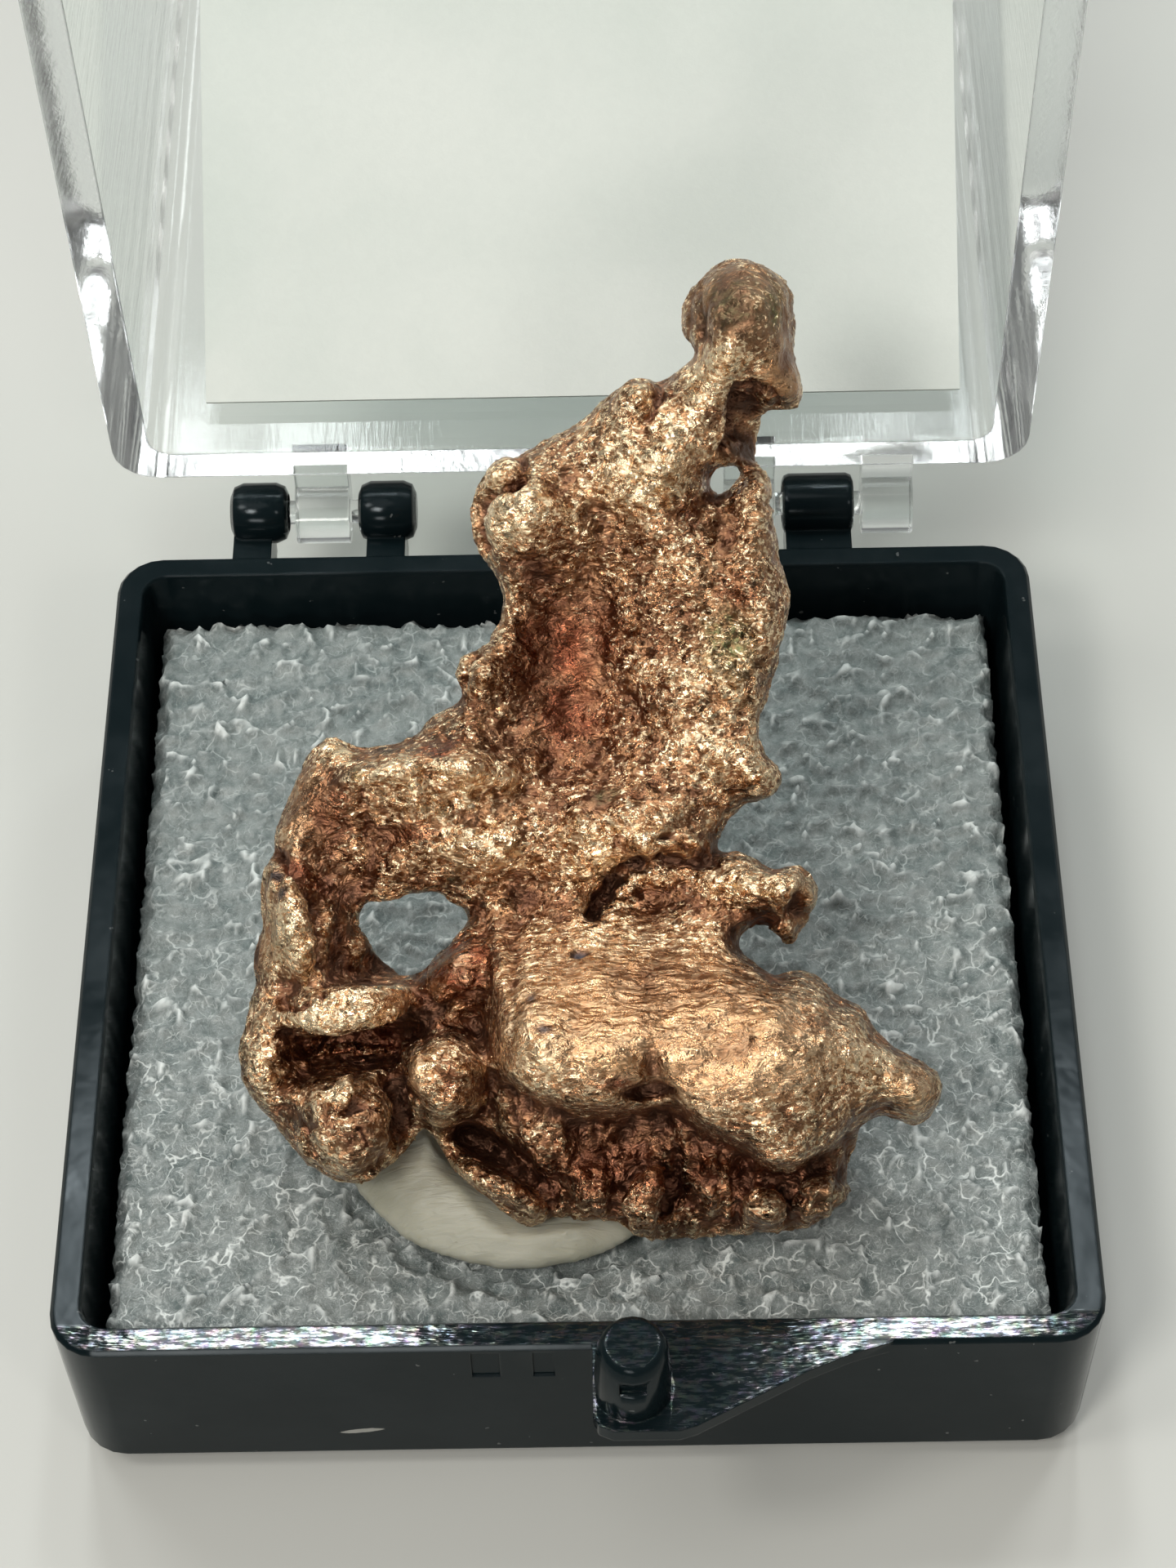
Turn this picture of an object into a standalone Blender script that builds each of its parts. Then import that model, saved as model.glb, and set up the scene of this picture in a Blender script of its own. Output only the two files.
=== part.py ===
"""Native copper specimen in a hinged thumbnail box, lid standing open.

Units are metres, +Z up. The origin is the centre of the box's flat bottom, +X runs along the hinge
and +Y points from the latch to the hinge. Sizes below are in millimetres and are turned into metres
where the meshes are made.
"""

import math

import bmesh
import bpy
import numpy as np
from mathutils import Euler, Matrix, Vector, noise
from mathutils.bvhtree import BVHTree
from mathutils.geometry import delaunay_2d_cdt

MM = 0.001
GAP = 0.3

# Box
BOX_SIDE = 31.75
BOX_HEIGHT = 31.75
CORNER_RADIUS = 1.5
BASE_HEIGHT = 7.6
BASE_DRAFT = 0.2
RIM_WIDTH = 0.95
FLOOR = 1.2
CORNER_STEPS = 5

# Hinge, on the back wall
HINGE_Y = 17.8
HINGE_Z = 7.7
KNUCKLE_RADIUS = 1.08
NECK_HEIGHT = 2.0
PAIRED_KNUCKLES = ((-12.05, -10.0), (-7.55, -5.5))
PAIRED_NECKS = ((-11.95, -10.6), (-7.25, -5.9))
SINGLE_KNUCKLE = (7.4, 9.9)
SINGLE_NECK = (7.5, 9.8)
KNUCKLE_EDGES = (0.45, 0.45, 0.25)
LUGS = ((-9.72, -7.83), (5.35, 7.12), (10.18, 11.95))
LUG_ARM = (0.3, 1.1)
PIN_RADIUS = 0.42
PIN_LENGTH = 0.85
SOCKET_RADIUS = 0.68
SOCKET_DEPTH = 0.85
BARREL_SIDES = 20

# Latch, on the front wall
TAB_THICKNESS = 0.6
TAB_OUTLINE = (
    (0.45, -15.2), (0.45, -18.1), (0.62, -18.5), (1.05, -18.7), (3.0, -18.7), (3.5, -18.55),
    (6.9, -16.75), (8.2, -16.2), (9.4, -15.85), (9.6, -15.2),
)
PEG_CENTRE = (1.65, -17.25)
PEG_RADIUS = 1.15
PEG_TOP_RADIUS = 0.95
PEG_TOP = 10.2
PEG_DIMPLE = (0.8, 0.5, 0.55)
DIMPLE_Z = 9.0
RING_RADIUS = 2.25
RING_HOLE = 1.47
RING_THICKNESS = 0.8
MOULD_MARKS = ((-3.2, -2.35), (-1.35, -0.7))
MOULD_MARK_HEIGHT = 1.8
MOULD_MARK_DEPTH = 0.12

# Lid
OPEN_ANGLE = 84.0
LID_WALL = 1.3
LID_DRAFT = 0.3
LID_TOP = 1.2

# Label card, leaning in the lid
CARD_WIDTH = 26.2
CARD_HEIGHT = 23.6
CARD_THICKNESS = 0.3
CARD_SHIFT = 0.45
CARD_SETBACK = 1.9
CARD_LEAN = 31.0

# Foam pad
FOAM_TOP = 6.2
FOAM_SIDE = 29.0
FOAM_CELLS = 20
FOAM_TAPER = 0.985

# Putty
PUTTY_CENTRE = (-1.7, -7.5)
PUTTY_RADII = (5.6, 4.9)
PUTTY_RISE = 1.8
PUTTY_SINK = 0.5

# Copper. Its sheet leans back, and is drawn in its own frame: u to the right along the sheet, v up
# the sheet, w out of its front face. What stands nearer than the sheet is drawn smaller, as it is
# seen from a point straight above the middle of the sheet.
SHEET_ORIGIN = (0.57, -0.6, 15.3)
SHEET_LEAN = 38.2
SHEET_SPIN = -1.7
SHEET_TURN = 1.0
SEEN_FROM = 114.0
GRID_STEP = 0.27
LEAST_THICKNESS = 1.2
EDGE_ROUNDING = 1.0
REMESH_VOXEL = 0.18
COPPER_TRIANGLES = 5800

SHEET_OUTLINE = (
    # top knob and the lobe below it
    (3.8, 15.8), (4.7, 16.15), (5.6, 15.85), (6.2, 15.3), (6.4, 14.3), (6.38, 13.1), (6.65, 12.2),
    (6.5, 11.6), (6.0, 11.4), (5.6, 11.45), (5.4, 11.0), (5.25, 10.1),
    # right edge of the upper sheet
    (5.7, 9.35), (5.75, 8.8), (5.5, 8.45), (5.85, 7.7), (5.9, 6.9), (6.15, 6.1), (6.2, 5.4),
    (6.0, 4.2), (5.5, 2.6), (5.25, 1.6),
    # ear, then the notch above the hook
    (5.5, 0.9), (6.05, 0.25), (5.7, -0.4), (4.8, -0.75), (4.25, -1.2), (4.0, -1.6), (3.95, -2.2),
    # hook
    (4.4, -1.98), (5.0, -2.2), (5.8, -2.6), (6.15, -2.43), (6.55, -2.42), (6.95, -2.8), (7.1, -3.3),
    (6.85, -4.1), (6.3, -4.95), (6.0, -5.0), (5.8, -4.6), (5.45, -4.35), (5.05, -4.3), (4.75, -4.55),
    (4.6, -5.0),
    # right end of the bulge and its knob
    (5.0, -5.4), (5.5, -5.78), (5.9, -5.85), (6.35, -5.7), (6.95, -5.87), (7.9, -6.65), (8.4, -6.85),
    (9.1, -7.9), (9.9, -8.3), (10.75, -8.9), (10.85, -9.7), (10.1, -10.5), (9.0, -10.15), (8.3, -10.7),
    # foot, from right to left
    (8.2, -11.2), (7.9, -12.0), (8.05, -12.4), (7.95, -12.75), (7.5, -13.2), (6.9, -13.55), (6.2, -13.8),
    (5.0, -13.85), (3.0, -14.05), (1.6, -14.05), (1.2, -13.7), (0.0, -13.35), (-0.9, -13.3),
    (-1.5, -13.55), (-2.1, -13.55), (-2.8, -13.0), (-3.7, -12.3), (-4.3, -11.8), (-4.45, -11.25),
    (-4.75, -10.8), (-5.05, -10.5),
    # lower left block
    (-5.3, -11.0), (-5.7, -11.45), (-6.25, -11.7), (-6.4, -12.1), (-7.0, -12.35), (-7.8, -12.2),
    (-8.6, -11.7), (-9.3, -10.9), (-9.9, -10.1), (-10.5, -9.3), (-10.75, -8.3), (-10.5, -7.0),
    (-10.2, -6.0), (-10.3, -5.3), (-9.95, -4.2),
    # left arm and shoulder
    (-10.05, -3.3), (-10.0, -2.7), (-9.72, -2.15), (-9.55, -2.0), (-9.7, -1.75), (-9.45, -1.0),
    (-8.9, 0.3), (-8.4, 1.2), (-7.8, 1.5), (-7.0, 1.15),
    (-6.0, 1.3), (-5.3, 1.6), (-4.6, 2.2), (-3.85, 2.65),
    # small curled bump
    (-4.1, 3.3), (-3.9, 4.0), (-3.3, 4.15), (-3.0, 4.3),
    # left edge of the upper sheet
    (-2.65, 5.4), (-2.8, 6.3), (-3.35, 7.0), (-3.65, 7.9), (-3.6, 8.8), (-3.1, 9.7), (-2.3, 10.0),
    (-1.6, 10.4), (-0.1, 11.2), (0.6, 11.9), (1.4, 12.4), (2.1, 12.3), (2.9, 12.8), (3.35, 13.25),
    (2.9, 13.7), (2.95, 14.8),
)
ARM_HOLE = (
    (-6.95, -3.6), (-6.6, -3.75), (-6.1, -3.7), (-5.65, -3.55), (-5.3, -3.35), (-5.1, -3.55),
    (-4.85, -3.35), (-4.4, -3.4), (-4.2, -3.8), (-3.85, -3.75), (-3.65, -4.2), (-4.0, -4.65),
    (-4.6, -5.1), (-5.2, -5.8), (-5.6, -5.85), (-6.1, -5.45), (-6.45, -5.15), (-6.7, -4.75),
    (-7.0, -4.4), (-6.95, -4.0),
)
TOP_HOLE = ((3.85, 9.6), (4.3, 9.75), (4.85, 9.6), (4.5, 9.35), (4.25, 8.95), (3.85, 8.9), (3.78, 9.3))

# Lumps and hollows of the front face: u, v, half-width, half-height, turn in degrees, height.
FRONT_RELIEF = (
    (4.75, 14.4, 1.9, 1.9, 0, 2.3),     # top knob
    (6.0, 12.2, 0.9, 1.2, 10, 1.1),     # lobe below the knob
    (3.0, 14.3, 0.6, 1.1, 20, -0.7),    # hood's back edge
    (3.7, 12.3, 1.1, 1.8, -20, 1.1),    # neck
    (1.6, 10.0, 2.6, 2.0, 35, 1.3),     # upper shoulder of the sheet
    (1.4, 12.0, 1.0, 0.5, 35, 0.5),     # curl on the upper edge
    (-2.1, 8.4, 1.3, 1.3, 0, 1.7),      # left lobe
    (5.2, 8.8, 0.8, 0.8, 0, 0.8),       # small lumps down the right edge
    (5.4, 7.3, 0.8, 0.9, 0, 0.6),
    (5.4, 5.4, 1.0, 1.3, 0, 0.9),
    (2.6, 6.6, 1.6, 1.1, 20, 0.5),
    (-0.6, 3.4, 2.0, 3.2, -12, -1.1),   # smooth hollow
    (3.9, 2.6, 1.6, 2.8, 8, 0.9),       # right band
    (5.4, 0.2, 0.8, 0.8, 0, 0.5),       # ear
    (0.6, -1.4, 3.2, 1.3, 5, 1.1),      # middle
    (2.6, -1.9, 0.8, 0.5, 0, 0.6),
    (-3.3, 3.4, 0.6, 0.7, 0, 0.7),      # curled bump
    (-5.0, 0.0, 3.0, 1.2, 8, 1.5),      # shoulder
    (-3.4, -1.9, 1.8, 0.9, -10, 1.0),
    (-8.9, -0.9, 1.0, 1.8, -15, 0.3),   # smooth flank of the shoulder
    (-9.1, -4.1, 1.1, 2.3, 14, 1.2),    # left arm
    (-10.1, -8.2, 0.9, 1.9, -5, 1.0),   # outer flank
    (-4.0, -5.8, 1.3, 1.1, 35, 1.6),    # red face
    (5.4, -3.1, 2.0, 0.8, -8, 1.7),     # hook
    (6.5, -3.7, 0.8, 1.0, 15, 1.0),
)
# The same, for forms with flatter tops and steeper sides.
CRISP_RELIEF = (
    (4.95, 10.9, 0.5, 1.2, 8, -1.5),    # dark recess beside the neck
    (-6.2, 0.5, 1.4, 0.5, 12, 0.7),     # crest of the shoulder, in two pieces
    (-3.4, 0.4, 1.5, 0.5, -10, 0.6),
    (-9.0, -4.3, 0.65, 2.2, 17, 1.0),   # ridge of the left arm
    (-6.4, -5.7, 0.8, 0.6, 30, -1.0),   # broken ground below the arm hole
    (-7.5, -6.8, 2.0, 0.6, 10, 2.2),    # tongue
    (-6.9, -8.15, 2.2, 0.75, 10, -1.9), # recess under the tongue
    (-7.4, -10.6, 1.5, 1.7, 14, 2.3),   # lower left block
    (-5.75, -10.5, 0.4, 1.5, 6, -1.2),  # groove between block and nugget
    (-4.45, -9.0, 1.25, 1.4, 0, 3.4),   # nugget
    (6.45, -3.8, 0.35, 0.8, -12, -0.8),   # hollow face of the hook's end
    (-2.9, -11.3, 1.7, 0.55, -30, -2.0),  # cavity under the nugget
    (-2.85, -12.45, 1.8, 0.65, -28, 1.8), # lower lip over the putty
    (-1.3, -11.1, 0.9, 1.1, -20, 1.0),    # lobe under the bulge's left end
    (1.75, -12.7, 0.5, 1.0, -12, 1.5),    # small fin on the foot
    (2.6, -12.4, 0.35, 0.9, -5, -0.9),    # pocket beside the fin
    (0.1, -12.4, 0.7, 0.6, 0, 0.7),       # knots on the foot
    (3.9, -12.3, 0.6, 0.9, 0, 0.6),
    (5.3, -13.0, 0.65, 0.6, 10, 1.5),
    (7.1, -12.8, 0.9, 0.7, 5, 1.5),       # right end of the foot
    (1.85, -9.5, 0.75, 0.24, 5, -1.4),    # pit in the bulge's lip
)
SOFT_POWER = 1.3
CRISP_POWER = 3.0
# The bulge hangs over the foot. Its lower edge, from left to right.
BULGE_LIP = (
    (-3.0, -8.6), (-2.3, -9.15), (-1.5, -9.75), (-0.3, -10.1), (1.2, -10.1), (2.1, -9.9), (2.8, -9.85),
    (3.3, -10.4), (4.3, -11.0), (5.0, -11.3), (5.5, -11.75), (6.2, -11.85), (6.9, -11.5), (7.4, -11.15),
    (8.3, -10.5), (10.2, -10.6),
)
BULGE_TOP = -3.0
BULGE_RUN = 5.4
BULGE_RISE = 5.6
BULGE_LEFT = -2.9
BULGE_FALL_RIGHT = 1.8
LIP_SOFTNESS = 0.3
FOOT_STEP = 1.1
# Creases cut in the front face: depth, half-width, and the line that each follows.
CREASES = (
    # above the bulge
    (1.0, 0.22, ((0.15, -4.0), (0.4, -3.4), (0.8, -3.1), (0.9, -2.75), (1.6, -2.5), (2.6, -2.3))),
    # round the left lobe
    (0.8, 0.18, ((-2.05, 9.35), (-2.6, 9.05), (-3.15, 8.8), (-3.4, 8.3), (-3.4, 7.7), (-3.2, 7.1))),
    # hood of the knob, the fold above the pit in the lip, and left of the bulge
    (0.35, 0.2, ((3.35, 15.0), (3.45, 14.3), (3.55, 13.6))),
    (0.6, 0.3, ((1.95, -8.4), (2.15, -9.2))),
    (0.5, 0.4, ((-2.45, -4.6), (-2.35, -6.5), (-2.6, -8.6))),
)

# Lumps of the back face, in the same way: positive stands further back.
SHEET_THICKNESS = 1.5
BACK_RELIEF = (
    (4.6, 14.2, 1.7, 1.8, 0, 1.0),
    (3.6, 11.8, 1.4, 1.6, -20, 0.5),
    (0.8, 8.0, 2.6, 2.4, 20, 1.1),
    (-1.8, 7.6, 1.2, 1.6, 0, 0.4),
    (3.6, 4.6, 2.2, 2.4, 0, 0.8),
    (-0.4, 3.0, 1.6, 2.4, -10, -0.4),
    (1.0, -0.8, 3.4, 1.8, 0, 1.4),
    (-5.4, -0.4, 2.6, 1.6, 8, 0.9),
    (-9.0, -4.0, 1.2, 2.4, 5, 0.6),
    (-7.8, -9.4, 2.2, 2.4, 10, 0.7),
    (5.3, -3.2, 1.8, 1.0, -8, 0.2),
    (3.4, -7.6, 4.2, 2.6, -8, 1.2),
    (-3.6, -9.6, 2.0, 2.0, 0, 0.3),
    (9.6, -9.3, 1.4, 1.2, 0, -2.2),
)
BACK_FOOT = 0.9
ROUGHNESS = ((1.9, 0.34), (0.9, 0.22))


def material(name, colour, roughness, metallic=0.0, transmission=0.0, ior=1.5):
    """A plain Principled material in the part's own colour."""
    made = bpy.data.materials.new(name)
    made.use_nodes = True
    made.diffuse_color = (*colour, 1.0)
    shader = made.node_tree.nodes["Principled BSDF"]
    shader.inputs["Base Color"].default_value = (*colour, 1.0)
    shader.inputs["Roughness"].default_value = roughness
    shader.inputs["Metallic"].default_value = metallic
    shader.inputs["Transmission Weight"].default_value = transmission
    shader.inputs["IOR"].default_value = ior
    return made


def object_from(name, bm, finish=None, smooth_angle=None):
    """Puts a bmesh drawn in millimetres in the scene, in metres, with its faces pointing out."""
    bmesh.ops.recalc_face_normals(bm, faces=bm.faces)
    bmesh.ops.scale(bm, vec=(MM, MM, MM), verts=bm.verts)
    mesh = bpy.data.meshes.new(name)
    bm.to_mesh(mesh)
    bm.free()
    if smooth_angle is not None:
        mesh.shade_smooth()
        mesh.set_sharp_from_angle(angle=math.radians(smooth_angle))
    made = bpy.data.objects.new(name, mesh)
    if finish is not None:
        mesh.materials.append(finish)
    bpy.context.scene.collection.objects.link(made)
    return made


def helper(name, bm):
    """A shape that only joins or cuts another: it isn't part of the model itself."""
    made = object_from(name, bm)
    made.hide_render = True
    made.display_type = "WIRE"
    return made


def combine(target, other, operation):
    """Joins or cuts the target with another mesh, exactly."""
    modifier = target.modifiers.new(other.name, "BOOLEAN")
    modifier.operation = operation
    modifier.solver = "EXACT"
    modifier.object = other


def bake_modifiers(target):
    """Replaces the object's mesh with what its modifiers make of it."""
    graph = bpy.context.evaluated_depsgraph_get()
    baked = bpy.data.meshes.new_from_object(target.evaluated_get(graph))
    target.modifiers.clear()
    target.data = baked


def loft(rings):
    """A closed solid through rings of equally many points, with flat ends."""
    bm = bmesh.new()
    rows = [[bm.verts.new(point) for point in ring] for ring in rings]
    count = len(rows[0])
    for lower, upper in zip(rows, rows[1:]):
        for i in range(count):
            j = (i + 1) % count
            bm.faces.new((lower[i], lower[j], upper[j], upper[i]))
    bm.faces.new(reversed(rows[0]))
    bm.faces.new(rows[-1])
    return bm


def rounded_square(side, radius, z):
    """A ring of points round a square with round corners, at height z."""
    reach = side / 2 - radius
    ring = []
    for corner in range(4):
        start = corner * math.pi / 2
        cx = reach * (1 if corner in (0, 3) else -1)
        cy = reach * (1 if corner in (0, 1) else -1)
        for step in range(CORNER_STEPS + 1):
            angle = start + step / CORNER_STEPS * math.pi / 2
            ring.append((cx + radius * math.cos(angle), cy + radius * math.sin(angle), z))
    return ring


def barrel(radius, x_from, x_to, y, z, edge=0.0):
    """A round bar along X, with its two edges softened by edge."""
    stations = [(x_from, radius - edge), (x_from + 0.3 * edge, radius - 0.3 * edge), (x_from + edge, radius)]
    stations += [(x_to - edge, radius), (x_to - 0.3 * edge, radius - 0.3 * edge), (x_to, radius - edge)]
    if not edge:
        stations = [(x_from, radius), (x_to, radius)]
    rings = []
    for x, r in stations:
        turns = [2 * math.pi * i / BARREL_SIDES for i in range(BARREL_SIDES)]
        rings.append([(x, y + r * math.cos(a), z + r * math.sin(a)) for a in turns])
    return loft(rings)


def turned(profile, x, y, sides):
    """A solid turned about a vertical axis, from (radius, z) pairs."""
    turns = [2 * math.pi * i / sides for i in range(sides)]
    return loft([[(x + r * math.cos(a), y + r * math.sin(a), z) for a in turns] for r, z in profile])


def prism(outline, z_low, z_high):
    return loft([[(x, y, z) for x, y in outline] for z in (z_low, z_high)])


def block(x_range, y_range, z_range):
    left, right = x_range
    near, far = y_range
    return prism([(left, near), (right, near), (right, far), (left, far)], *z_range)


def tray_shell():
    """The tray: out and up the outer wall, over the rim, and down to the floor inside."""
    top = BASE_HEIGHT
    inner = BOX_SIDE - 2 * RIM_WIDTH
    bottom = BOX_SIDE - 2 * BASE_DRAFT
    return loft([
        rounded_square(bottom - 2.0, CORNER_RADIUS - 0.8, 0.0),
        rounded_square(bottom - 0.8, CORNER_RADIUS - 0.3, 0.28),
        rounded_square(bottom, CORNER_RADIUS, 1.0),
        rounded_square(BOX_SIDE, CORNER_RADIUS, top - 0.15),
        rounded_square(BOX_SIDE - 0.25, CORNER_RADIUS - 0.1, top),
        rounded_square(inner + 0.2, CORNER_RADIUS - 0.6, top),
        rounded_square(inner, CORNER_RADIUS - 0.7, top - 0.12),
        rounded_square(inner - 0.5, CORNER_RADIUS - 0.8, FLOOR),
    ])


def latch_peg():
    low = BASE_HEIGHT - TAB_THICKNESS / 2
    return turned(
        [
            (PEG_RADIUS, low), (PEG_RADIUS, PEG_TOP - 1.6), (PEG_RADIUS - 0.08, PEG_TOP - 0.5),
            (PEG_TOP_RADIUS, PEG_TOP - 0.1), (PEG_TOP_RADIUS - 0.15, PEG_TOP),
        ],
        *PEG_CENTRE, 20,
    )


def build_base(finish):
    """Tray, hinge knuckles, latch tab and latch peg, moulded as one piece."""
    base = object_from("box_base", tray_shell(), finish, 35)
    neck_y = (BOX_SIDE / 2 - RIM_WIDTH / 2, HINGE_Y)
    neck_z = (HINGE_Z - NECK_HEIGHT, HINGE_Z - 0.25)
    necks = (*PAIRED_NECKS, SINGLE_NECK)
    knuckles = (*PAIRED_KNUCKLES, SINGLE_KNUCKLE)
    joined = []
    for i, (neck, knuckle, edge) in enumerate(zip(necks, knuckles, KNUCKLE_EDGES)):
        joined.append(helper(f"neck_{i}", block(neck, neck_y, neck_z)))
        joined.append(helper(f"knuckle_{i}", barrel(KNUCKLE_RADIUS, *knuckle, HINGE_Y, HINGE_Z, edge)))
    joined.append(helper("latch_tab", prism(TAB_OUTLINE, BASE_HEIGHT - TAB_THICKNESS, BASE_HEIGHT - 0.02)))
    joined.append(helper("latch_peg", latch_peg()))
    for piece in joined:
        combine(base, piece, "UNION")
    for cutter in base_cutters():
        combine(base, cutter, "DIFFERENCE")
    return base


def base_cutters():
    """Sockets for the lid's pins, the dimple in the peg, and two mould marks under the front rim."""
    sockets = [(PAIRED_KNUCKLES[0][1], -1), (PAIRED_KNUCKLES[1][0], 1)]
    sockets += [(SINGLE_KNUCKLE[0], 1), (SINGLE_KNUCKLE[1], -1)]
    cutters = []
    for i, (face, side) in enumerate(sockets):
        ends = sorted((face - side * 0.5, face + side * SOCKET_DEPTH))
        cutters.append(helper(f"socket_{i}", barrel(SOCKET_RADIUS, *ends, HINGE_Y, HINGE_Z)))
    width, depth, height = PEG_DIMPLE
    x, y = PEG_CENTRE
    front = y - PEG_RADIUS
    dimple_x = (x - width / 2, x + width / 2)
    dimple = block(dimple_x, (front - 0.5, front + depth / 2), (DIMPLE_Z, DIMPLE_Z + height))
    cutters.append(helper("dimple", dimple))
    wall = -BOX_SIDE / 2
    mark_y = (wall - 0.5, wall + MOULD_MARK_DEPTH)
    mark_z = (BASE_HEIGHT - MOULD_MARK_HEIGHT, BASE_HEIGHT - 0.3)
    for i, span in enumerate(MOULD_MARKS):
        cutters.append(helper(f"mould_mark_{i}", block(span, mark_y, mark_z)))
    return cutters


def lid_shell():
    """The lid, drawn closed: up the outer wall, over the top, and back down inside to the ceiling."""
    low = BASE_HEIGHT + GAP
    top = BOX_HEIGHT
    upper = BOX_SIDE - 2 * LID_DRAFT
    inner = BOX_SIDE - 2 * LID_WALL
    return loft([
        rounded_square(inner - 2 * LID_DRAFT, CORNER_RADIUS - 0.8, top - LID_TOP),
        rounded_square(inner, CORNER_RADIUS - 0.7, low),
        rounded_square(BOX_SIDE, CORNER_RADIUS, low),
        rounded_square(upper, CORNER_RADIUS, top - 0.7),
        rounded_square(upper - 0.4, CORNER_RADIUS - 0.1, top - 0.2),
        rounded_square(upper - 1.3, CORNER_RADIUS - 0.5, top),
    ])


def latch_ring():
    """The ring that drops over the peg, on a short neck from the lid's front wall."""
    low = BASE_HEIGHT + GAP
    x, y = PEG_CENTRE
    wall = -BOX_SIDE / 2 + LID_WALL / 2
    half = [math.pi * (1 + i / 14) for i in range(15)]
    outline = [(x + RING_RADIUS * math.cos(a), y + RING_RADIUS * math.sin(a)) for a in half]
    outline += [(x + RING_RADIUS, wall), (x - RING_RADIUS, wall)]
    return prism(outline, low, low + RING_THICKNESS)


def lug(span):
    """One lug of the lid: a barrel on the hinge axis and the arm that carries it."""
    low, high = LUG_ARM
    wall = BOX_SIDE / 2 - LID_WALL / 2
    arm = block(span, (wall, HINGE_Y + 0.2), (HINGE_Z + low, HINGE_Z + high))
    return arm, barrel(KNUCKLE_RADIUS + 0.02, *span, HINGE_Y, HINGE_Z)


def build_lid(finish, axis):
    """Lid shell, lugs, pins and latch ring, moulded as one piece and hung on the hinge axis."""
    lid = object_from("lid", lid_shell(), finish, 35)
    joined = []
    for i, span in enumerate(LUGS):
        for part, bm in zip(("arm", "eye"), lug(span)):
            joined.append(helper(f"lug_{part}_{i}", bm))
    pins = [(LUGS[0][0], -1), (LUGS[0][1], 1), (LUGS[1][1], 1), (LUGS[2][0], -1)]
    for i, (face, side) in enumerate(pins):
        ends = sorted((face - side * 0.5, face + side * PIN_LENGTH))
        joined.append(helper(f"pin_{i}", barrel(PIN_RADIUS, *ends, HINGE_Y, HINGE_Z)))
    joined.append(helper("latch_ring", latch_ring()))
    hole = turned([(RING_HOLE, BASE_HEIGHT - 1), (RING_HOLE, BASE_HEIGHT + 3)], *PEG_CENTRE, 24)
    hole = helper("latch_ring_hole", hole)
    for piece in joined:
        combine(lid, piece, "UNION")
    combine(lid, hole, "DIFFERENCE")
    for piece in (lid, hole, *joined):
        hang_on(piece, axis)
    return lid


def hang_on(piece, axis):
    """Parents a piece that was drawn closed to the hinge axis, keeping its origin on that axis."""
    piece.data.transform(Matrix.Translation((0, -HINGE_Y * MM, -HINGE_Z * MM)))
    piece.parent = axis


def build_card(finish, axis):
    """The label card, standing on the lid's hinge wall and leaning against the inside of its top."""
    low = BASE_HEIGHT + GAP + CARD_SETBACK
    lean = math.radians(CARD_LEAN)
    foot = Vector((CARD_SHIFT, BOX_SIDE / 2 - LID_WALL - GAP - 0.1, low))
    up = Vector((0, -math.sin(lean), math.cos(lean)))
    out = Vector((0, -math.cos(lean), -math.sin(lean)))
    half = Vector((CARD_WIDTH / 2, 0, 0))
    ring = []
    for depth in (0, CARD_THICKNESS):
        foot_line = foot + out * depth
        head_line = foot_line + up * CARD_HEIGHT
        ring.append([foot_line - half, foot_line + half, head_line + half, head_line - half])
    card = object_from("label_card", loft(ring), finish)
    hang_on(card, axis)
    return card


def putty_reach(x, y):
    """0 at the putty's middle, 1 at its edge."""
    return math.hypot((x - PUTTY_CENTRE[0]) / PUTTY_RADII[0], (y - PUTTY_CENTRE[1]) / PUTTY_RADII[1])


def foam_height(x, y):
    """The pad's top: slightly uneven, and pressed down where the putty sits."""
    wave = 0.12 * noise.noise(Vector((x * 0.35, y * 0.35, 3.0)))
    press = 0.9 * math.sqrt(max(0.0, 1 - (putty_reach(x, y) / 1.2) ** 2))
    return FOAM_TOP - 0.12 + wave - press


def build_foam(finish):
    """The foam pad: a slab with an uneven top."""
    bm = bmesh.new()
    low = FLOOR + GAP
    half = FOAM_SIDE / 2
    step = FOAM_SIDE / FOAM_CELLS
    spots = [-half + i * step for i in range(FOAM_CELLS + 1)]
    top = [[bm.verts.new((x, y, foam_height(x, y))) for x in spots] for y in spots]
    for corner in (top[0][0], top[0][-1], top[-1][0], top[-1][-1]):
        corner.co.xy *= FOAM_TAPER
    for j in range(FOAM_CELLS):
        for i in range(FOAM_CELLS):
            bm.faces.new((top[j][i], top[j][i + 1], top[j + 1][i + 1], top[j + 1][i]))
    edge = top[0] + [row[-1] for row in top[1:]] + top[-1][-2::-1] + [row[0] for row in top[-2:0:-1]]
    foot = [bm.verts.new((v.co.x * FOAM_TAPER, v.co.y * FOAM_TAPER, low)) for v in edge]
    for i in range(len(edge)):
        j = (i + 1) % len(edge)
        bm.faces.new((edge[j], edge[i], foot[i], foot[j]))
    bm.faces.new(foot)
    return object_from("foam_pad", bm, finish, 40)


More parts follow.
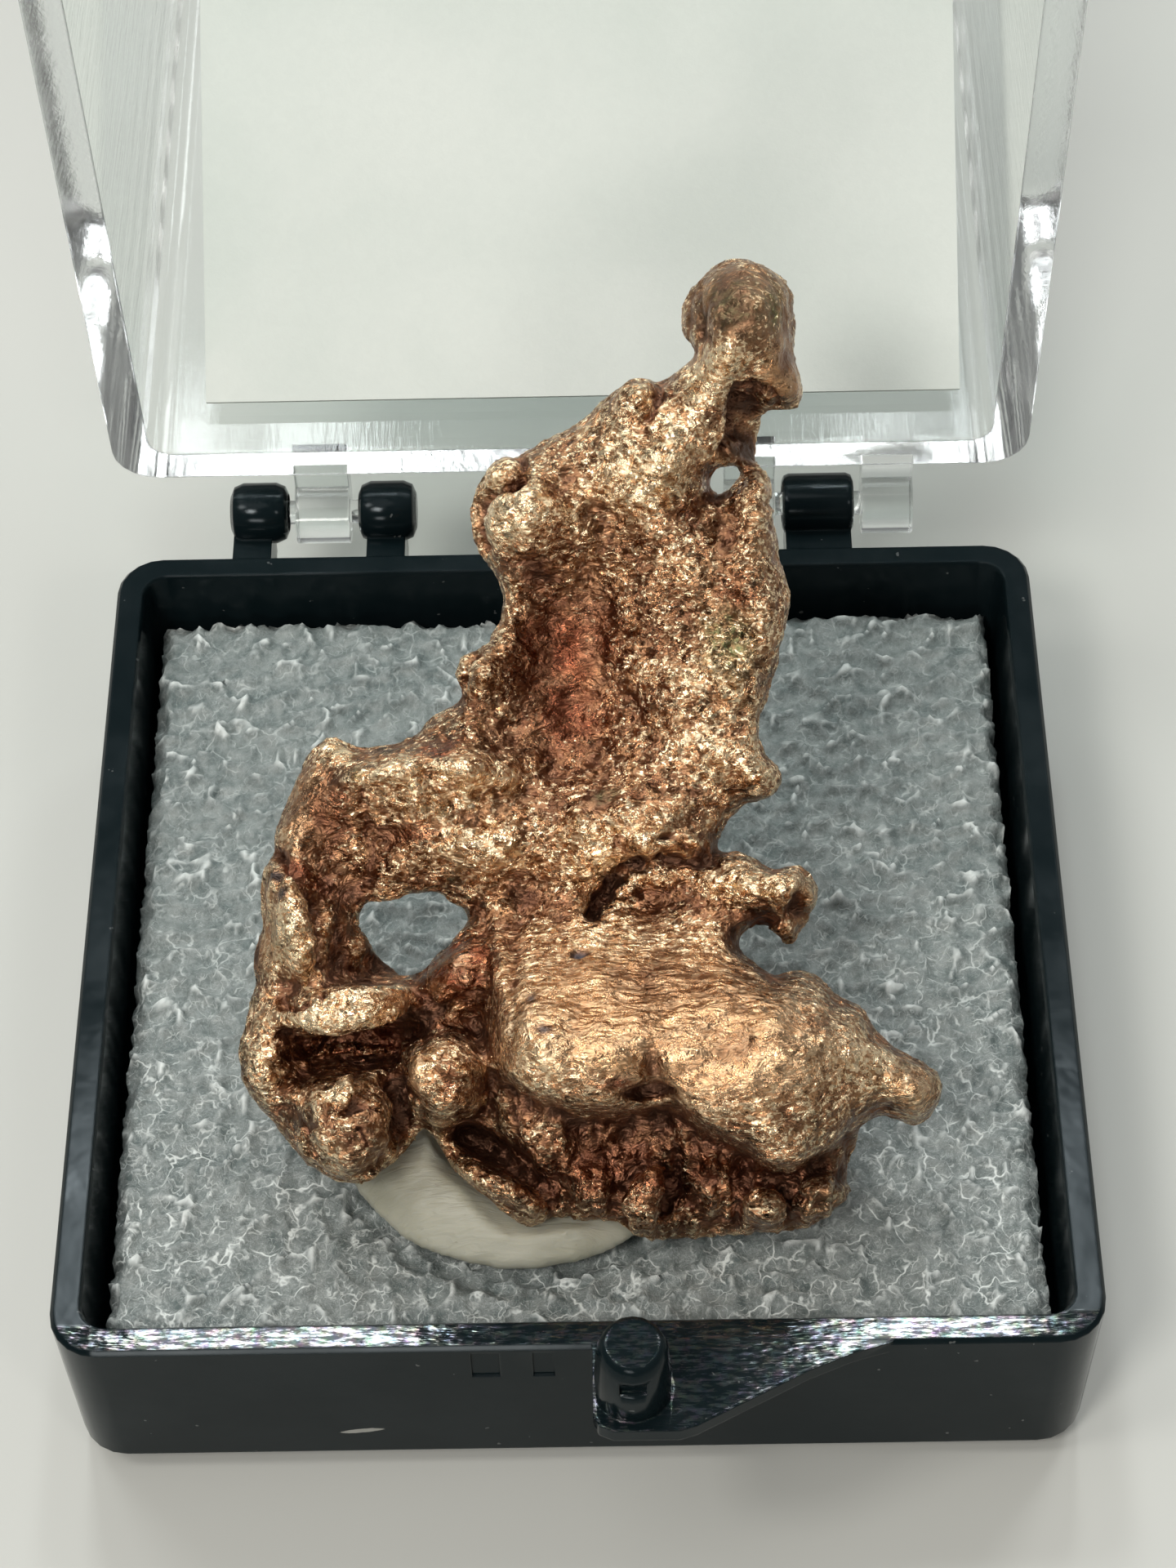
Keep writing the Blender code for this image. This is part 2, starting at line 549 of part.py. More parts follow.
def build_putty(finish, copper):
    """A blob pressed between foam and copper: its top stops short of the copper above it."""
    tree = BVHTree.FromObject(copper, bpy.context.evaluated_depsgraph_get())
    reach = 0.45

    def headroom(x, y):
        """How high the putty may stand at x, y, looking a little to each side as well."""
        ceiling = BOX_HEIGHT
        for dx, dy in ((0, 0), (reach, 0), (-reach, 0), (0, reach), (0, -reach)):
            start = Vector((x + dx, y + dy, 0)) * MM
            hit = tree.ray_cast(start, Vector((0, 0, 1)))[0]
            if hit is not None:
                ceiling = min(ceiling, hit.z / MM)
        return ceiling - GAP - 0.1

    rings, sectors = 9, 30
    bm = bmesh.new()
    top, bottom = [], []
    for k in range(rings + 1):
        share = k / rings
        dome = math.sqrt(max(0.0, 1 - share ** 2))
        upper, lower = [], []
        for s in range(sectors if k else 1):
            angle = 2 * math.pi * s / sectors
            x = PUTTY_CENTRE[0] + PUTTY_RADII[0] * share * math.cos(angle)
            y = PUTTY_CENTRE[1] + PUTTY_RADII[1] * share * math.sin(angle)
            low = FOAM_TOP - PUTTY_SINK * dome
            high = min(FOAM_TOP + 0.05 + PUTTY_RISE * dome, headroom(x, y))
            lower.append(bm.verts.new((x, y, low)))
            upper.append(bm.verts.new((x, y, max(high, low + 0.2))))
        top.append(upper)
        bottom.append(lower)
    for rows, flip in ((top, False), (bottom, True)):
        for s in range(sectors):
            t = (s + 1) % sectors
            bm.faces.new((rows[0][0], rows[1][s], rows[1][t]))
        for inner, outer in zip(rows[1:], rows[2:]):
            for s in range(sectors):
                t = (s + 1) % sectors
                bm.faces.new((inner[s], outer[s], outer[t], inner[t]))
    for s in range(sectors):
        t = (s + 1) % sectors
        bm.faces.new((top[-1][s], bottom[-1][s], bottom[-1][t], top[-1][t]))
    return object_from("putty", bm, finish, 60)


def smooth_loop(points, step=0.25):
    """A closed Catmull-Rom curve through the points, sampled about every step."""
    points = [np.array(p, float) for p in points]
    count = len(points)
    out = []
    for i in range(count):
        a, b, c, d = (points[(i + k) % count] for k in (-1, 0, 1, 2))
        pieces = max(1, round(float(np.linalg.norm(c - b)) / step))
        for k in range(pieces):
            t = k / pieces
            square = (2 * a - 5 * b + 4 * c - d) * t ** 2
            cube = (3 * b - a - 3 * c + d) * t ** 3
            out.append(0.5 * (2 * b + (c - a) * t + square + cube))
    return np.array(out)


def smooth_step(x):
    x = np.clip(x, 0, 1)
    return x * x * (3 - 2 * x)


def distance_to(points, line, closed):
    """Distance of each point from a polyline."""
    ends = np.roll(line, -1, axis=0) if closed else line[1:]
    starts = line if closed else line[:-1]
    best = np.full(len(points), np.inf)
    for a, b in zip(starts, ends):
        along = b - a
        t = np.clip(((points - a) @ along) / max(along @ along, 1e-12), 0, 1)
        best = np.minimum(best, np.linalg.norm(points - a - t[:, None] * along, axis=1))
    return best


def inside(points, loop):
    """Which points lie inside a closed loop."""
    x, y = points[:, 0], points[:, 1]
    hit = np.zeros(len(points), bool)
    for (x0, y0), (x1, y1) in zip(loop, np.roll(loop, -1, axis=0)):
        crosses = (y0 > y) != (y1 > y)
        run = (x1 - x0) * (y - y0) / (y1 - y0 if y1 != y0 else 1e-12) + x0
        hit ^= crosses & (x < run)
    return hit


def relief(u, v, lumps, power=SOFT_POWER):
    """The sum of the lumps at each point. A higher power makes flatter tops and steeper sides."""
    total = np.zeros(len(u))
    for lump_u, lump_v, half_width, half_height, turn, height in lumps:
        c, s = math.cos(math.radians(turn)), math.sin(math.radians(turn))
        du, dv = u - lump_u, v - lump_v
        r2 = ((du * c + dv * s) / half_width) ** 2 + ((dv * c - du * s) / half_height) ** 2
        total += height * np.exp(-(r2 ** power))
    return total


def bulge(u, v):
    """Height of the smooth overhanging bulge, and how far each point is inside it."""
    lip = np.array(BULGE_LIP)
    lip_v = np.interp(u, lip[:, 0], lip[:, 1])
    over_lip = smooth_step((v - lip_v) / LIP_SOFTNESS + 0.5)
    from_left = smooth_step((u - BULGE_LEFT) / 0.8 + 0.5)
    rise = BULGE_RISE * smooth_step((BULGE_TOP - v) / BULGE_RUN)
    rise = rise - BULGE_FALL_RIGHT * smooth_step((u - 5.0) / 5.0) * rise / BULGE_RISE
    roll = 0.9 * np.exp(-np.maximum(v - lip_v, 0) / 0.7)
    foot = FOOT_STEP * smooth_step((v + 14.0) / 4.5)
    inside_bulge = over_lip * from_left
    return inside_bulge * (rise - roll) + (1 - over_lip) * foot * from_left


def rough(u, v, seed):
    """Uneven natural surface, from coarse to finer lumps."""
    total = np.zeros(len(u))
    for size, height in ROUGHNESS:
        total += [height * noise.noise(Vector((a / size, b / size, seed))) for a, b in zip(u, v)]
    return total


def front_height(u, v):
    points = np.column_stack([u, v])
    height = SHEET_THICKNESS / 2 + relief(u, v, FRONT_RELIEF) + bulge(u, v)
    height += relief(u, v, CRISP_RELIEF, CRISP_POWER)
    for depth, half_width, line in CREASES:
        away = distance_to(points, np.array(line), False)
        height -= depth * np.exp(-((away / half_width) ** 2))
    return height + rough(u, v, 1.5)


def back_height(u, v):
    depth = SHEET_THICKNESS / 2 + relief(u, v, BACK_RELIEF) + rough(u, v, 9.5)
    depth -= BACK_FOOT * smooth_step((-11.5 - v) / 2.5)
    return -np.maximum(depth, 0.25)


def sheet_to_box():
    """Places the sheet's own frame in the box."""
    turn = Euler((0, 0, math.radians(SHEET_TURN))).to_matrix()
    lean = Euler((math.radians(SHEET_LEAN), 0, 0)).to_matrix()
    spin = Euler((0, 0, math.radians(SHEET_SPIN))).to_matrix()
    return Matrix.Translation(SHEET_ORIGIN) @ (turn @ lean @ spin).to_4x4()


def build_copper(finish):
    """The copper, one piece: a leaning sheet with its lumps, hook, arm, two holes and heavy bulge."""
    loops = [smooth_loop(SHEET_OUTLINE), smooth_loop(ARM_HOLE, 0.3), smooth_loop(TOP_HOLE, 0.2)]
    low, high = loops[0].min(axis=0), loops[0].max(axis=0)
    columns = np.arange(low[0], high[0], GRID_STEP)
    rows = np.arange(low[1], high[1], GRID_STEP * 0.87)
    grid = np.array([(u + (j % 2) * GRID_STEP / 2, v) for j, v in enumerate(rows) for u in columns])
    edge_distance = np.min([distance_to(grid, loop, True) for loop in loops], axis=0)
    in_metal = inside(grid, loops[0]) & ~inside(grid, loops[1]) & ~inside(grid, loops[2])
    inner = grid[in_metal & (edge_distance > GRID_STEP * 0.45)]
    border = np.concatenate(loops)
    edges, start = [], 0
    for loop in loops:
        edges += [(start + i, start + (i + 1) % len(loop)) for i in range(len(loop))]
        start += len(loop)
    flat = [Vector(p) for p in np.concatenate([border, inner])]
    points, _, faces, _, _, _ = delaunay_2d_cdt(flat, edges, [], 1, 1e-5)
    points = np.array([tuple(p) for p in points])
    centres = points[np.array(faces)].mean(axis=1)
    faces = [f for f, cut in zip(faces, inside(centres, loops[1]) | inside(centres, loops[2])) if not cut]

    distance = np.min([distance_to(points, loop, True) for loop in loops], axis=0)
    on_edge = distance < 1e-3
    u, v = points[:, 0], points[:, 1]
    front = front_height(u, v)
    back = np.minimum(back_height(u, v), front - LEAST_THICKNESS)
    middle = (front * 0.45 + back * 0.55)
    share = np.clip(distance / EDGE_ROUNDING, 0, 1)
    fullness = np.sqrt(1 - (1 - share) ** 2)
    front = middle + (front - middle) * fullness
    back = middle + (back - middle) * fullness

    place = sheet_to_box()
    bm = bmesh.new()

    def vertex(i, w):
        scale = 1 - w / SEEN_FROM
        return bm.verts.new(place @ Vector((u[i] * scale, v[i] * scale, w)))

    used = sorted({i for face in faces for i in face})
    over = {i: vertex(i, front[i]) for i in used}
    under = {i: over[i] if on_edge[i] else vertex(i, back[i]) for i in used}
    for face in faces:
        bm.faces.new([over[i] for i in face])
        if any(not on_edge[i] for i in face):
            bm.faces.new([under[i] for i in reversed(face)])
    copper = object_from("native_copper", bm, finish)

    remesh = copper.modifiers.new("fuse", "REMESH")
    remesh.mode = "VOXEL"
    remesh.voxel_size = REMESH_VOXEL * MM
    ease = copper.modifiers.new("ease", "SMOOTH")
    ease.factor = 0.5
    ease.iterations = 2
    bake_modifiers(copper)
    thin = copper.modifiers.new("thin", "DECIMATE")
    thin.ratio = COPPER_TRIANGLES / (2 * len(copper.data.polygons))
    bake_modifiers(copper)
    copper.data.shade_smooth()
    return copper


def build():
    for old in list(bpy.data.objects):
        bpy.data.objects.remove(old)
    black = material("black_plastic", (0.012, 0.018, 0.02), 0.25)
    clear = material("clear_plastic", (0.95, 0.97, 0.97), 0.03, transmission=1.0, ior=1.58)
    foam = material("white_foam", (0.62, 0.66, 0.64), 0.9)
    putty = material("white_putty", (0.78, 0.78, 0.70), 0.55)
    copper = material("copper", (0.78, 0.40, 0.24), 0.32, metallic=1.0)
    paper = material("label_paper", (0.86, 0.88, 0.84), 0.8)

    axis = bpy.data.objects.new("hinge_axis", None)
    axis.location = (0, HINGE_Y * MM, HINGE_Z * MM)
    axis.rotation_euler = (-math.radians(OPEN_ANGLE), 0, 0)
    bpy.context.scene.collection.objects.link(axis)

    build_base(black)
    build_lid(clear, axis)
    build_card(paper, axis)
    build_foam(foam)
    specimen = build_copper(copper)
    bpy.context.view_layer.update()
    build_putty(putty, specimen)


build()
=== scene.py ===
"""Looks for the boxed native copper specimen: fine surfaces, materials, floor, light and camera.

Lengths in the tables are millimetres. The copper's own frame is that of its leaning sheet: u to the
right along the sheet, v up the sheet, w out of its front face, as the camera sees it.
"""

import math

import bmesh
import bpy
import numpy as np
from mathutils import Euler, Matrix, Vector, noise


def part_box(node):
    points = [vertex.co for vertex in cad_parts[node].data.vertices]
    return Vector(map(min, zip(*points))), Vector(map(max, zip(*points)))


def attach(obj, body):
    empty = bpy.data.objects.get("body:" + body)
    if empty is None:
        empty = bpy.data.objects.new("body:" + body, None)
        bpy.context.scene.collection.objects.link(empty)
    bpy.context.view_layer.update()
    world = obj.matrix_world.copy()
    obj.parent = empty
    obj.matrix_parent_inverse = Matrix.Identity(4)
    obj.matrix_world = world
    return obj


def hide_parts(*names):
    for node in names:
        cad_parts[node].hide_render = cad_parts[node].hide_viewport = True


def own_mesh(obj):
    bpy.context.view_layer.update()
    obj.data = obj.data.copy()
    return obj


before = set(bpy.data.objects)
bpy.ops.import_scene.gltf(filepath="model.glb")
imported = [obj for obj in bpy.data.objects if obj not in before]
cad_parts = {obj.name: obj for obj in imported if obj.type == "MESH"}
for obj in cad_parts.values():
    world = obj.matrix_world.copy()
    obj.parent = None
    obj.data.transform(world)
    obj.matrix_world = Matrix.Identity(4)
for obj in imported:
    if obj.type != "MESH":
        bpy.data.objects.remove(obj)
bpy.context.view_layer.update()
MM = 0.001
noise.seed_set(1)

# Camera, fitted to the corners of the box
CAMERA_PLACE = (1.777, -71.057, 104.893)
CAMERA_DOWN = 51.82
CAMERA_TURN = -0.98
CAMERA_ROLL = -1.745
CAMERA_LENS = 85.3
SENSOR_WIDTH = 36
NEAREST_SEEN = 0.005

# The copper's sheet, as it stands in the box. SEEN_FROM is the camera's distance from it: u and v are
# read where a point appears on the sheet from there.
SHEET_ORIGIN = (0.57, -0.6, 15.3)
SHEET_LEAN = 38.2
SHEET_SPIN = -1.7
SHEET_TURN = 1.0
SEEN_FROM = 114.0
# Sizes of the fine faces
COPPER_VOXEL = 0.132
PUTTY_VOXEL = 0.16
# Edges sharper than this many degrees stay sharp on the moulded pieces.
SHARP_ANGLE = 32

# Colours, as linear shares of red, green and blue
COPPER_BROWN, COPPER_GOLD = (0.21, 0.098, 0.049), (0.67, 0.375, 0.185)
# the leaf colour is clean metal and painted glint
COPPER_RED, COPPER_LEAF_GLINT = (0.21, 0.058, 0.028), (1.0, 0.785, 0.51)
# tarnish colours, also used for painted shade
TARNISH_AND_SHADE_BROWN, DEEP_TARNISH_AND_SHADE = (0.18, 0.085, 0.055), (0.085, 0.045, 0.028)
GREEN_BLOOM, BLUE_SPOT = (0.20, 0.25, 0.11), (0.05, 0.06, 0.075)
FOAM_DIM, FOAM_MIDDLE = (0.088, 0.114, 0.110), (0.136, 0.16, 0.152)
FOAM_PALE, FOAM_WEB = (0.275, 0.30, 0.288), (0.82, 0.86, 0.83)
PUTTY_DIM, PUTTY_PALE, PUTTY_SPECK = (0.335, 0.33, 0.255), (0.41, 0.405, 0.33), (0.22, 0.20, 0.15)
BLACK_DEEP, BLACK_HAZY = (0.0035, 0.0075, 0.0088), (0.006, 0.0105, 0.012)
BLACK_GLOSS_TINT, DUST, SCUFF_COLOUR = (0.86, 0.95, 1), (0.30, 0.31, 0.30), (0.30, 0.30, 0.275)
CLEAR, CLEAR_SHADOW = (0.91, 0.935, 0.93, 1), (0.93, 0.95, 0.945, 1)
CARD_DIM, CARD_PALE, CARD_FIBRE = (0.60, 0.63, 0.585), (0.66, 0.68, 0.635), (0.50, 0.52, 0.49)
FLOOR_COLOUR = (0.53, 0.535, 0.50, 1)

# Places on the copper: u, v, half-width, half-height, turn in degrees, strength.
# Tarnish, and painted shade in recesses, pits, grooves and faces turned from the light
DARK_PLACES = (
    (-2.9, -11.3, 1.7, 0.65, -30, 1.1),   # cavity under the nugget
    (-7.2, -8.3, 2.0, 0.6, 8, 0.4),       # recess under the tongue
    (-5.3, -7.2, 0.8, 0.55, 15, 1.0),
    (-10.2, -5.1, 0.22, 0.7, 0, 1.3),     # lump behind the arm
    (-6.3, -5.45, 0.9, 0.35, -42, 1.3),   # black rim of the arm hole
    (-7.7, -4.9, 0.45, 1.2, -10, 0.6),    # brown ground beside the arm
    (4.95, 11.7, 0.6, 0.5, 0, 0.9),       # recess beside the neck
    (4.8, 10.2, 0.5, 0.5, -20, 1.2),
    (3.9, 8.75, 0.5, 0.15, 15, 0.9),
    (0.3, -0.55, 0.7, 0.35, 20, 0.9),     # blue-black patch
    (1.9, -2.15, 0.9, 0.3, 10, 0.7),
    (3.4, -2.1, 0.6, 0.3, 0, 0.8),
    (2.5, -1.6, 0.4, 0.15, 0, 0.9),
    (-1.6, 6.5, 0.9, 0.45, 0, 0.75),      # dark red patch
    (-8.1, -0.9, 1.0, 1.6, -15, 0.3),     # brown face of the shoulder
    (-7.4, -3.2, 1.1, 0.5, 0, 0.5),
    (4.6, 14.7, 1.9, 1.4, 0, 1.1),        # knob
    (2.95, 13.9, 0.25, 0.5, 20, 0.8),
    (6.0, 12.4, 0.7, 1.1, 0, 0.45),
    (-6.9, -10.9, 1.1, 1.3, 25, 0.6),     # face of the block
    (-5.85, -10.3, 0.3, 1.4, 6, 0.75),    # groove beside the block
    (1.85, -9.5, 0.65, 0.15, 5, 1.4),     # pit in the lip
    (2.0, -9.1, 0.25, 0.3, 10, 0.2),
    (6.5, -3.9, 0.3, 0.85, -12, 0.6),     # hollow face of the hook
    (5.1, -4.2, 0.9, 0.17, -8, 0.8),
    (4.4, -4.6, 0.2, 0.5, -20, 0.8),
    (-9.2, -2.5, 0.7, 0.25, -38, 0.7),    # break across the arm
    (-8.4, -3.6, 0.25, 0.9, 20, 0.3),
    (-3.45, 7.9, 0.13, 0.9, 0, 0.8),      # fold of the left lobe
    (-9.0, -9.4, 0.9, 1.6, 20, 0.35),
    (2.6, -12.5, 0.3, 0.8, -5, 1.0),      # pocket beside the fin
)
# Blue-black spots: u, v, half-width, half-height.
SPOTS = (
    (-1.75, -6.6, 0.17, 0.2), (-1.35, -7.5, 0.28, 0.18), (-0.25, -5.2, 0.3, 0.12),
    (-9.55, -2.85, 0.3, 0.15), (-9.4, -3.35, 0.2, 0.2),
)
# Red tarnish
RED_PLACES = (
    (-1.2, 4.2, 1.5, 1.5, -8, 0.85),      # smooth hollow
    (-0.6, 2.2, 1.2, 1.6, -8, 0.8),
    (0.4, 4.6, 1.0, 0.8, 0, 0.5),
    (-4.0, -5.7, 1.3, 0.9, 38, 1.2),      # red face
    (-5.4, -1.5, 0.75, 0.4, 8, 0.9),
    (-4.5, 1.1, 0.8, 0.3, 15, 0.9),
    (-7.8, -0.6, 0.7, 1.2, -10, 0.45),
    (-4.3, -8.9, 0.4, 0.8, 0, 0.5),
    (-8.8, -2.7, 1.0, 0.3, -38, 0.9),
    (5.2, -4.3, 1.0, 0.3, -10, 0.5),
    (-6.9, -8.1, 2.0, 0.6, 10, 0.8),
    (1.2, -9.2, 0.9, 0.3, 0, 0.6),
    (4.6, 5.8, 0.6, 0.6, 0, 0.5),
    (2.9, 8.4, 0.5, 0.4, 0, 0.5),
    (1.4, -12.0, 4.6, 1.3, 0, 0.55),
)
# Clean metal with many bright leaves, and painted light where the copper faces the light
GOLD_PLACES = (
    (4.2, -7.9, 3.8, 2.2, -8, 0.62),      # bulge
    (-0.5, -7.2, 2.4, 2.0, 0, 0.95),
    (2.0, -4.8, 4.0, 1.0, 0, 0.75),
    (8.4, -8.6, 1.8, 1.3, -20, 0.65),
    (-4.4, -0.3, 2.6, 1.2, 5, 1.0),       # glittering shoulder
    (-3.4, -2.2, 1.8, 0.9, -10, 1.0),
    (-7.6, 0.9, 0.5, 0.4, 0, 0.8),
    (-9.2, -4.8, 1.0, 1.7, 17, 1.0),      # arm
    (-7.3, -6.8, 1.8, 0.6, 10, 1.0),      # tongue
    (0.4, -2.2, 2.6, 1.1, 10, 0.75),
    (5.2, -3.0, 1.5, 0.7, -8, 0.75),      # hook
    (-4.3, -8.2, 0.8, 0.4, 0, 0.7),       # nugget
    (-5.2, -8.9, 0.35, 0.7, 0, 0.6),
    (-4.1, -5.5, 0.8, 0.4, 38, 0.45),
    (-7.6, -9.4, 0.8, 0.35, 25, 0.7),     # ridge of the block
    (-7.9, -11.6, 0.6, 0.3, -30, 0.4),
    (-10.0, -8.0, 0.6, 1.2, 0, 0.5),
    (1.6, 9.6, 2.6, 1.6, 30, 0.7),
    (-2.2, 8.3, 1.2, 1.0, 0, 0.95),       # left lobe
    (3.8, 12.6, 0.9, 1.2, -30, 1.0),      # neck
    (5.4, 14.6, 0.8, 1.0, 0, 0.5),
    (3.9, 1.2, 1.6, 1.6, 0, 0.6),
    (3.0, 3.4, 1.5, 0.7, 10, 0.5),
    (5.3, -12.9, 0.6, 0.4, 0, 0.7),
    (1.7, -12.7, 0.35, 0.7, -12, 0.45),
    (-3.9, -11.8, 0.5, 0.25, -30, 0.7),
)
# Worn smooth, with few flakes
SMOOTH_PLACES = (
    (2.6, -7.6, 6.4, 3.2, -8, 0.8),
    (-0.7, 3.2, 1.5, 2.6, -8, 0.8),
    (-4.1, -5.8, 1.2, 0.9, 38, 0.9),
    (-8.5, -0.9, 1.1, 2.0, -15, 0.75),
    (4.7, 14.6, 2.1, 1.7, 0, 0.4),
    (6.0, 12.6, 0.8, 1.5, 0, 0.85),
    (-3.5, 8.0, 0.3, 1.3, 0, 0.8),
    (9.9, -9.2, 1.4, 1.2, 0, 0.6),
    (6.6, -3.6, 0.7, 1.3, 0, 0.6),
    (-9.9, -4.6, 0.5, 2.2, 0, 0.6),
    (-5.2, -9.0, 0.4, 1.2, 0, 0.7),
    (-6.3, -10.8, 0.6, 1.2, 0, 0.5),
    (-5.4, -1.5, 0.8, 0.45, 8, 0.8),
)
# Green bloom
GREEN_PLACES = (
    (4.3, 4.2, 0.8, 1.2, 5, 0.8), (2.2, 9.4, 0.9, 0.6, 0, 0.35), (5.7, 14.6, 0.4, 0.8, 0, 0.5),
    (4.6, 14.7, 1.7, 1.2, 0, 0.25), (-7.2, 0.3, 0.3, 0.25, 0, 0.7), (0.5, -0.4, 0.5, 0.2, 20, 0.6),
)
# Places with flat faces and sharp edges
ANGULAR_PLACES = (
    (-7.2, -10.6, 1.9, 2.0, 0, 1.0),      # block
    (-4.4, -9.0, 1.2, 1.5, 0, 0.9),       # nugget
    (-7.3, -6.8, 2.0, 0.8, 8, 0.5),       # tongue
    (-9.2, -4.6, 0.9, 2.2, 15, 0.6),      # arm
    (-4.0, -5.8, 1.2, 0.9, 38, 0.6),      # red face
    (6.2, -3.6, 1.4, 1.4, 0, 0.6),        # hook
    (2.0, -12.6, 5.5, 0.9, 0, 0.7),       # foot
    (4.2, 3.0, 1.8, 3.0, 0, 0.5),
)
# Fine forms raised on the front, or sunk where the height is below zero: u, v, half-width, half-height,
# turn in degrees, height.
FINE_FORMS = (
    (-7.2, -7.1, 1.7, 0.32, 8, 0.5),       # lower half of the tongue
    (-4.25, -8.75, 0.55, 0.8, -8, -0.08),  # hollow of the nugget, and its rims
    (-5.15, -8.7, 0.2, 0.65, 5, 0.2),
    (-4.1, -9.75, 0.8, 0.17, 6, 0.22),
    (-6.9, -9.1, 0.9, 0.2, 24, 0.3),       # ridge of the block
    (-6.6, -6.5, 1.1, 0.28, 6, 0.25),      # end of the tongue
    (1.85, -9.5, 0.7, 0.15, 5, -0.3),      # pit in the lip
    (-7.2, -8.4, 1.8, 0.45, 8, 0.8),       # broken ground under the tongue
    (1.75, -12.75, 0.42, 0.85, -12, 0.35),  # fin
    (5.4, -12.95, 0.5, 0.42, 10, 0.35),    # lumps on the foot
    (6.95, -12.8, 0.5, 0.35, 5, -0.25),
    (-0.3, -5.2, 0.28, 0.1, 8, -0.25),
    (-1.35, -7.5, 0.3, 0.2, 0, -0.12),
    (-2.55, 9.55, 0.5, 0.35, 25, 0.25),    # lump over the left lobe
    (1.5, 12.0, 0.75, 0.35, 35, 0.25),     # curl on the upper edge
    (2.1, 11.6, 0.12, 0.5, -20, -0.25),
    (-3.5, 4.0, 0.25, 0.15, 30, -0.3),     # curled bump
    (6.5, -3.9, 0.28, 0.8, -12, -0.3),     # hollow face of the hook
    (-8.95, -4.6, 0.4, 1.3, 17, 0.2),      # ridge of the arm
    (-9.5, -2.75, 0.5, 0.12, -25, 0.15),
    (5.2, 8.2, 0.5, 0.35, 0, 0.2),
    (3.1, -1.75, 0.35, 0.2, -20, 0.3),
    (1.7, -1.8, 0.5, 0.35, 0, 0.3),
)
# Creases cut again after the mesh is made finer: depth, half-width, line.
CREASES = (
    # above the bulge, with ragged sides
    (0.45, 0.12, ((0.15, -4.0), (0.3, -3.6), (0.6, -3.4), (0.7, -3.05))),
    (0.45, 0.12, ((0.7, -3.05), (1.0, -2.9), (1.05, -2.6), (1.6, -2.5))),
    (0.35, 0.14, ((2.2, -2.3), (2.6, -2.45), (3.3, -2.5), (3.8, -2.3))),
    (0.3, 0.12, ((2.1, -1.75), (2.6, -1.6), (3.0, -1.9))),
    # round the left lobe
    (0.6, 0.12, ((-2.05, 9.35), (-2.6, 9.05), (-3.15, 8.8))),
    (0.5, 0.16, ((-3.15, 8.8), (-3.45, 8.3), (-3.42, 7.7), (-3.25, 7.1))),
    (0.3, 0.1, ((-2.05, 9.9), (-2.0, 9.4))),
    # hood of the knob
    (0.12, 0.1, ((3.15, 15.0), (3.1, 14.0))),
    (0.18, 0.12, ((3.45, 15.2), (3.45, 14.4), (3.6, 13.7))),
    # rolled edge beside the neck
    (0.45, 0.16, ((4.6, 12.1), (4.5, 11.3), (4.5, 10.7), (4.2, 10.15))),
    (0.4, 0.12, ((4.5, 12.15), (5.0, 12.1), (5.6, 11.95), (5.9, 11.5))),
    # fold above the pit, and left of the bulge
    (0.05, 0.2, ((1.9, -8.4), (2.05, -8.9), (2.2, -9.3))),
    (0.07, 0.2, ((-2.3, -4.8), (-2.3, -6.5), (-2.5, -8.6))),
    # arm, tongue and block
    (0.4, 0.12, ((-9.6, -2.1), (-9.0, -2.5), (-8.7, -3.1), (-8.3, -3.8), (-8.15, -4.6), (-8.2, -5.6))),
    (0.5, 0.12, ((-9.4, -6.7), (-9.1, -6.85), (-8.7, -6.7), (-8.2, -6.5))),
    (0.28, 0.14, ((-5.5, -6.9), (-6.2, -7.2), (-6.7, -7.5), (-7.6, -7.65), (-8.6, -7.95), (-9.4, -7.75))),
    (0.18, 0.12, ((-6.05, -8.8), (-5.95, -10.2), (-6.2, -11.2), (-6.45, -12.0))),
    (0.06, 0.12, ((-7.9, -9.2), (-8.5, -9.6), (-8.65, -10.8), (-8.2, -11.7))),
    (0.3, 0.12, ((-5.3, -6.3), (-4.6, -6.95), (-3.9, -6.7), (-3.1, -6.5))),
    (0.35, 0.12, ((-5.7, -8.0), (-5.75, -9.2), (-5.1, -10.2))),
    # edge between the smooth flank and the shoulder
    (0.15, 0.14, ((-6.9, 0.1), (-6.85, -0.8), (-6.7, -1.9), (-6.7, -3.0))),
    # foot: both sides of the fin, and the gap in the right end
    (0.4, 0.12, ((1.3, -11.75), (1.15, -12.6), (1.1, -13.6))),
    (0.4, 0.12, ((1.4, -11.7), (2.2, -11.65), (2.45, -12.3), (2.3, -13.3))),
    (0.4, 0.1, ((5.95, -12.3), (6.1, -12.9), (6.1, -13.5))),
    (0.3, 0.12, ((-4.3, -11.3), (-3.3, -11.9), (-2.4, -11.95), (-1.7, -12.3), (-1.1, -12.9))),
    # curled bump and hook
    (0.3, 0.09, ((-3.97, 3.05), (-3.8, 3.45), (-3.5, 3.95))),
    (0.2, 0.1, ((6.15, -3.1), (6.1, -4.0), (6.15, -4.8))),
)
# Lower edge of the lip, over the wall that lies in its shade, painted darker: u, v.
LIP = (
    (-3.0, -8.6), (-2.3, -9.15), (-1.5, -9.75), (-0.3, -10.1), (1.2, -10.1), (2.1, -9.9), (2.8, -9.85),
    (3.3, -10.4), (4.3, -11.0), (5.0, -11.3), (5.5, -11.75), (6.2, -11.85), (6.9, -11.5), (7.4, -11.15),
    (8.3, -10.5), (10.2, -10.6),
)

# The room is bright behind the box and overhead, and dim on the camera's side.
BRIGHT_SIDE = (0, 0.55, 0.83)
WORLD_LEVELS = ((0.25, 0.09), (0.85, 0.32))
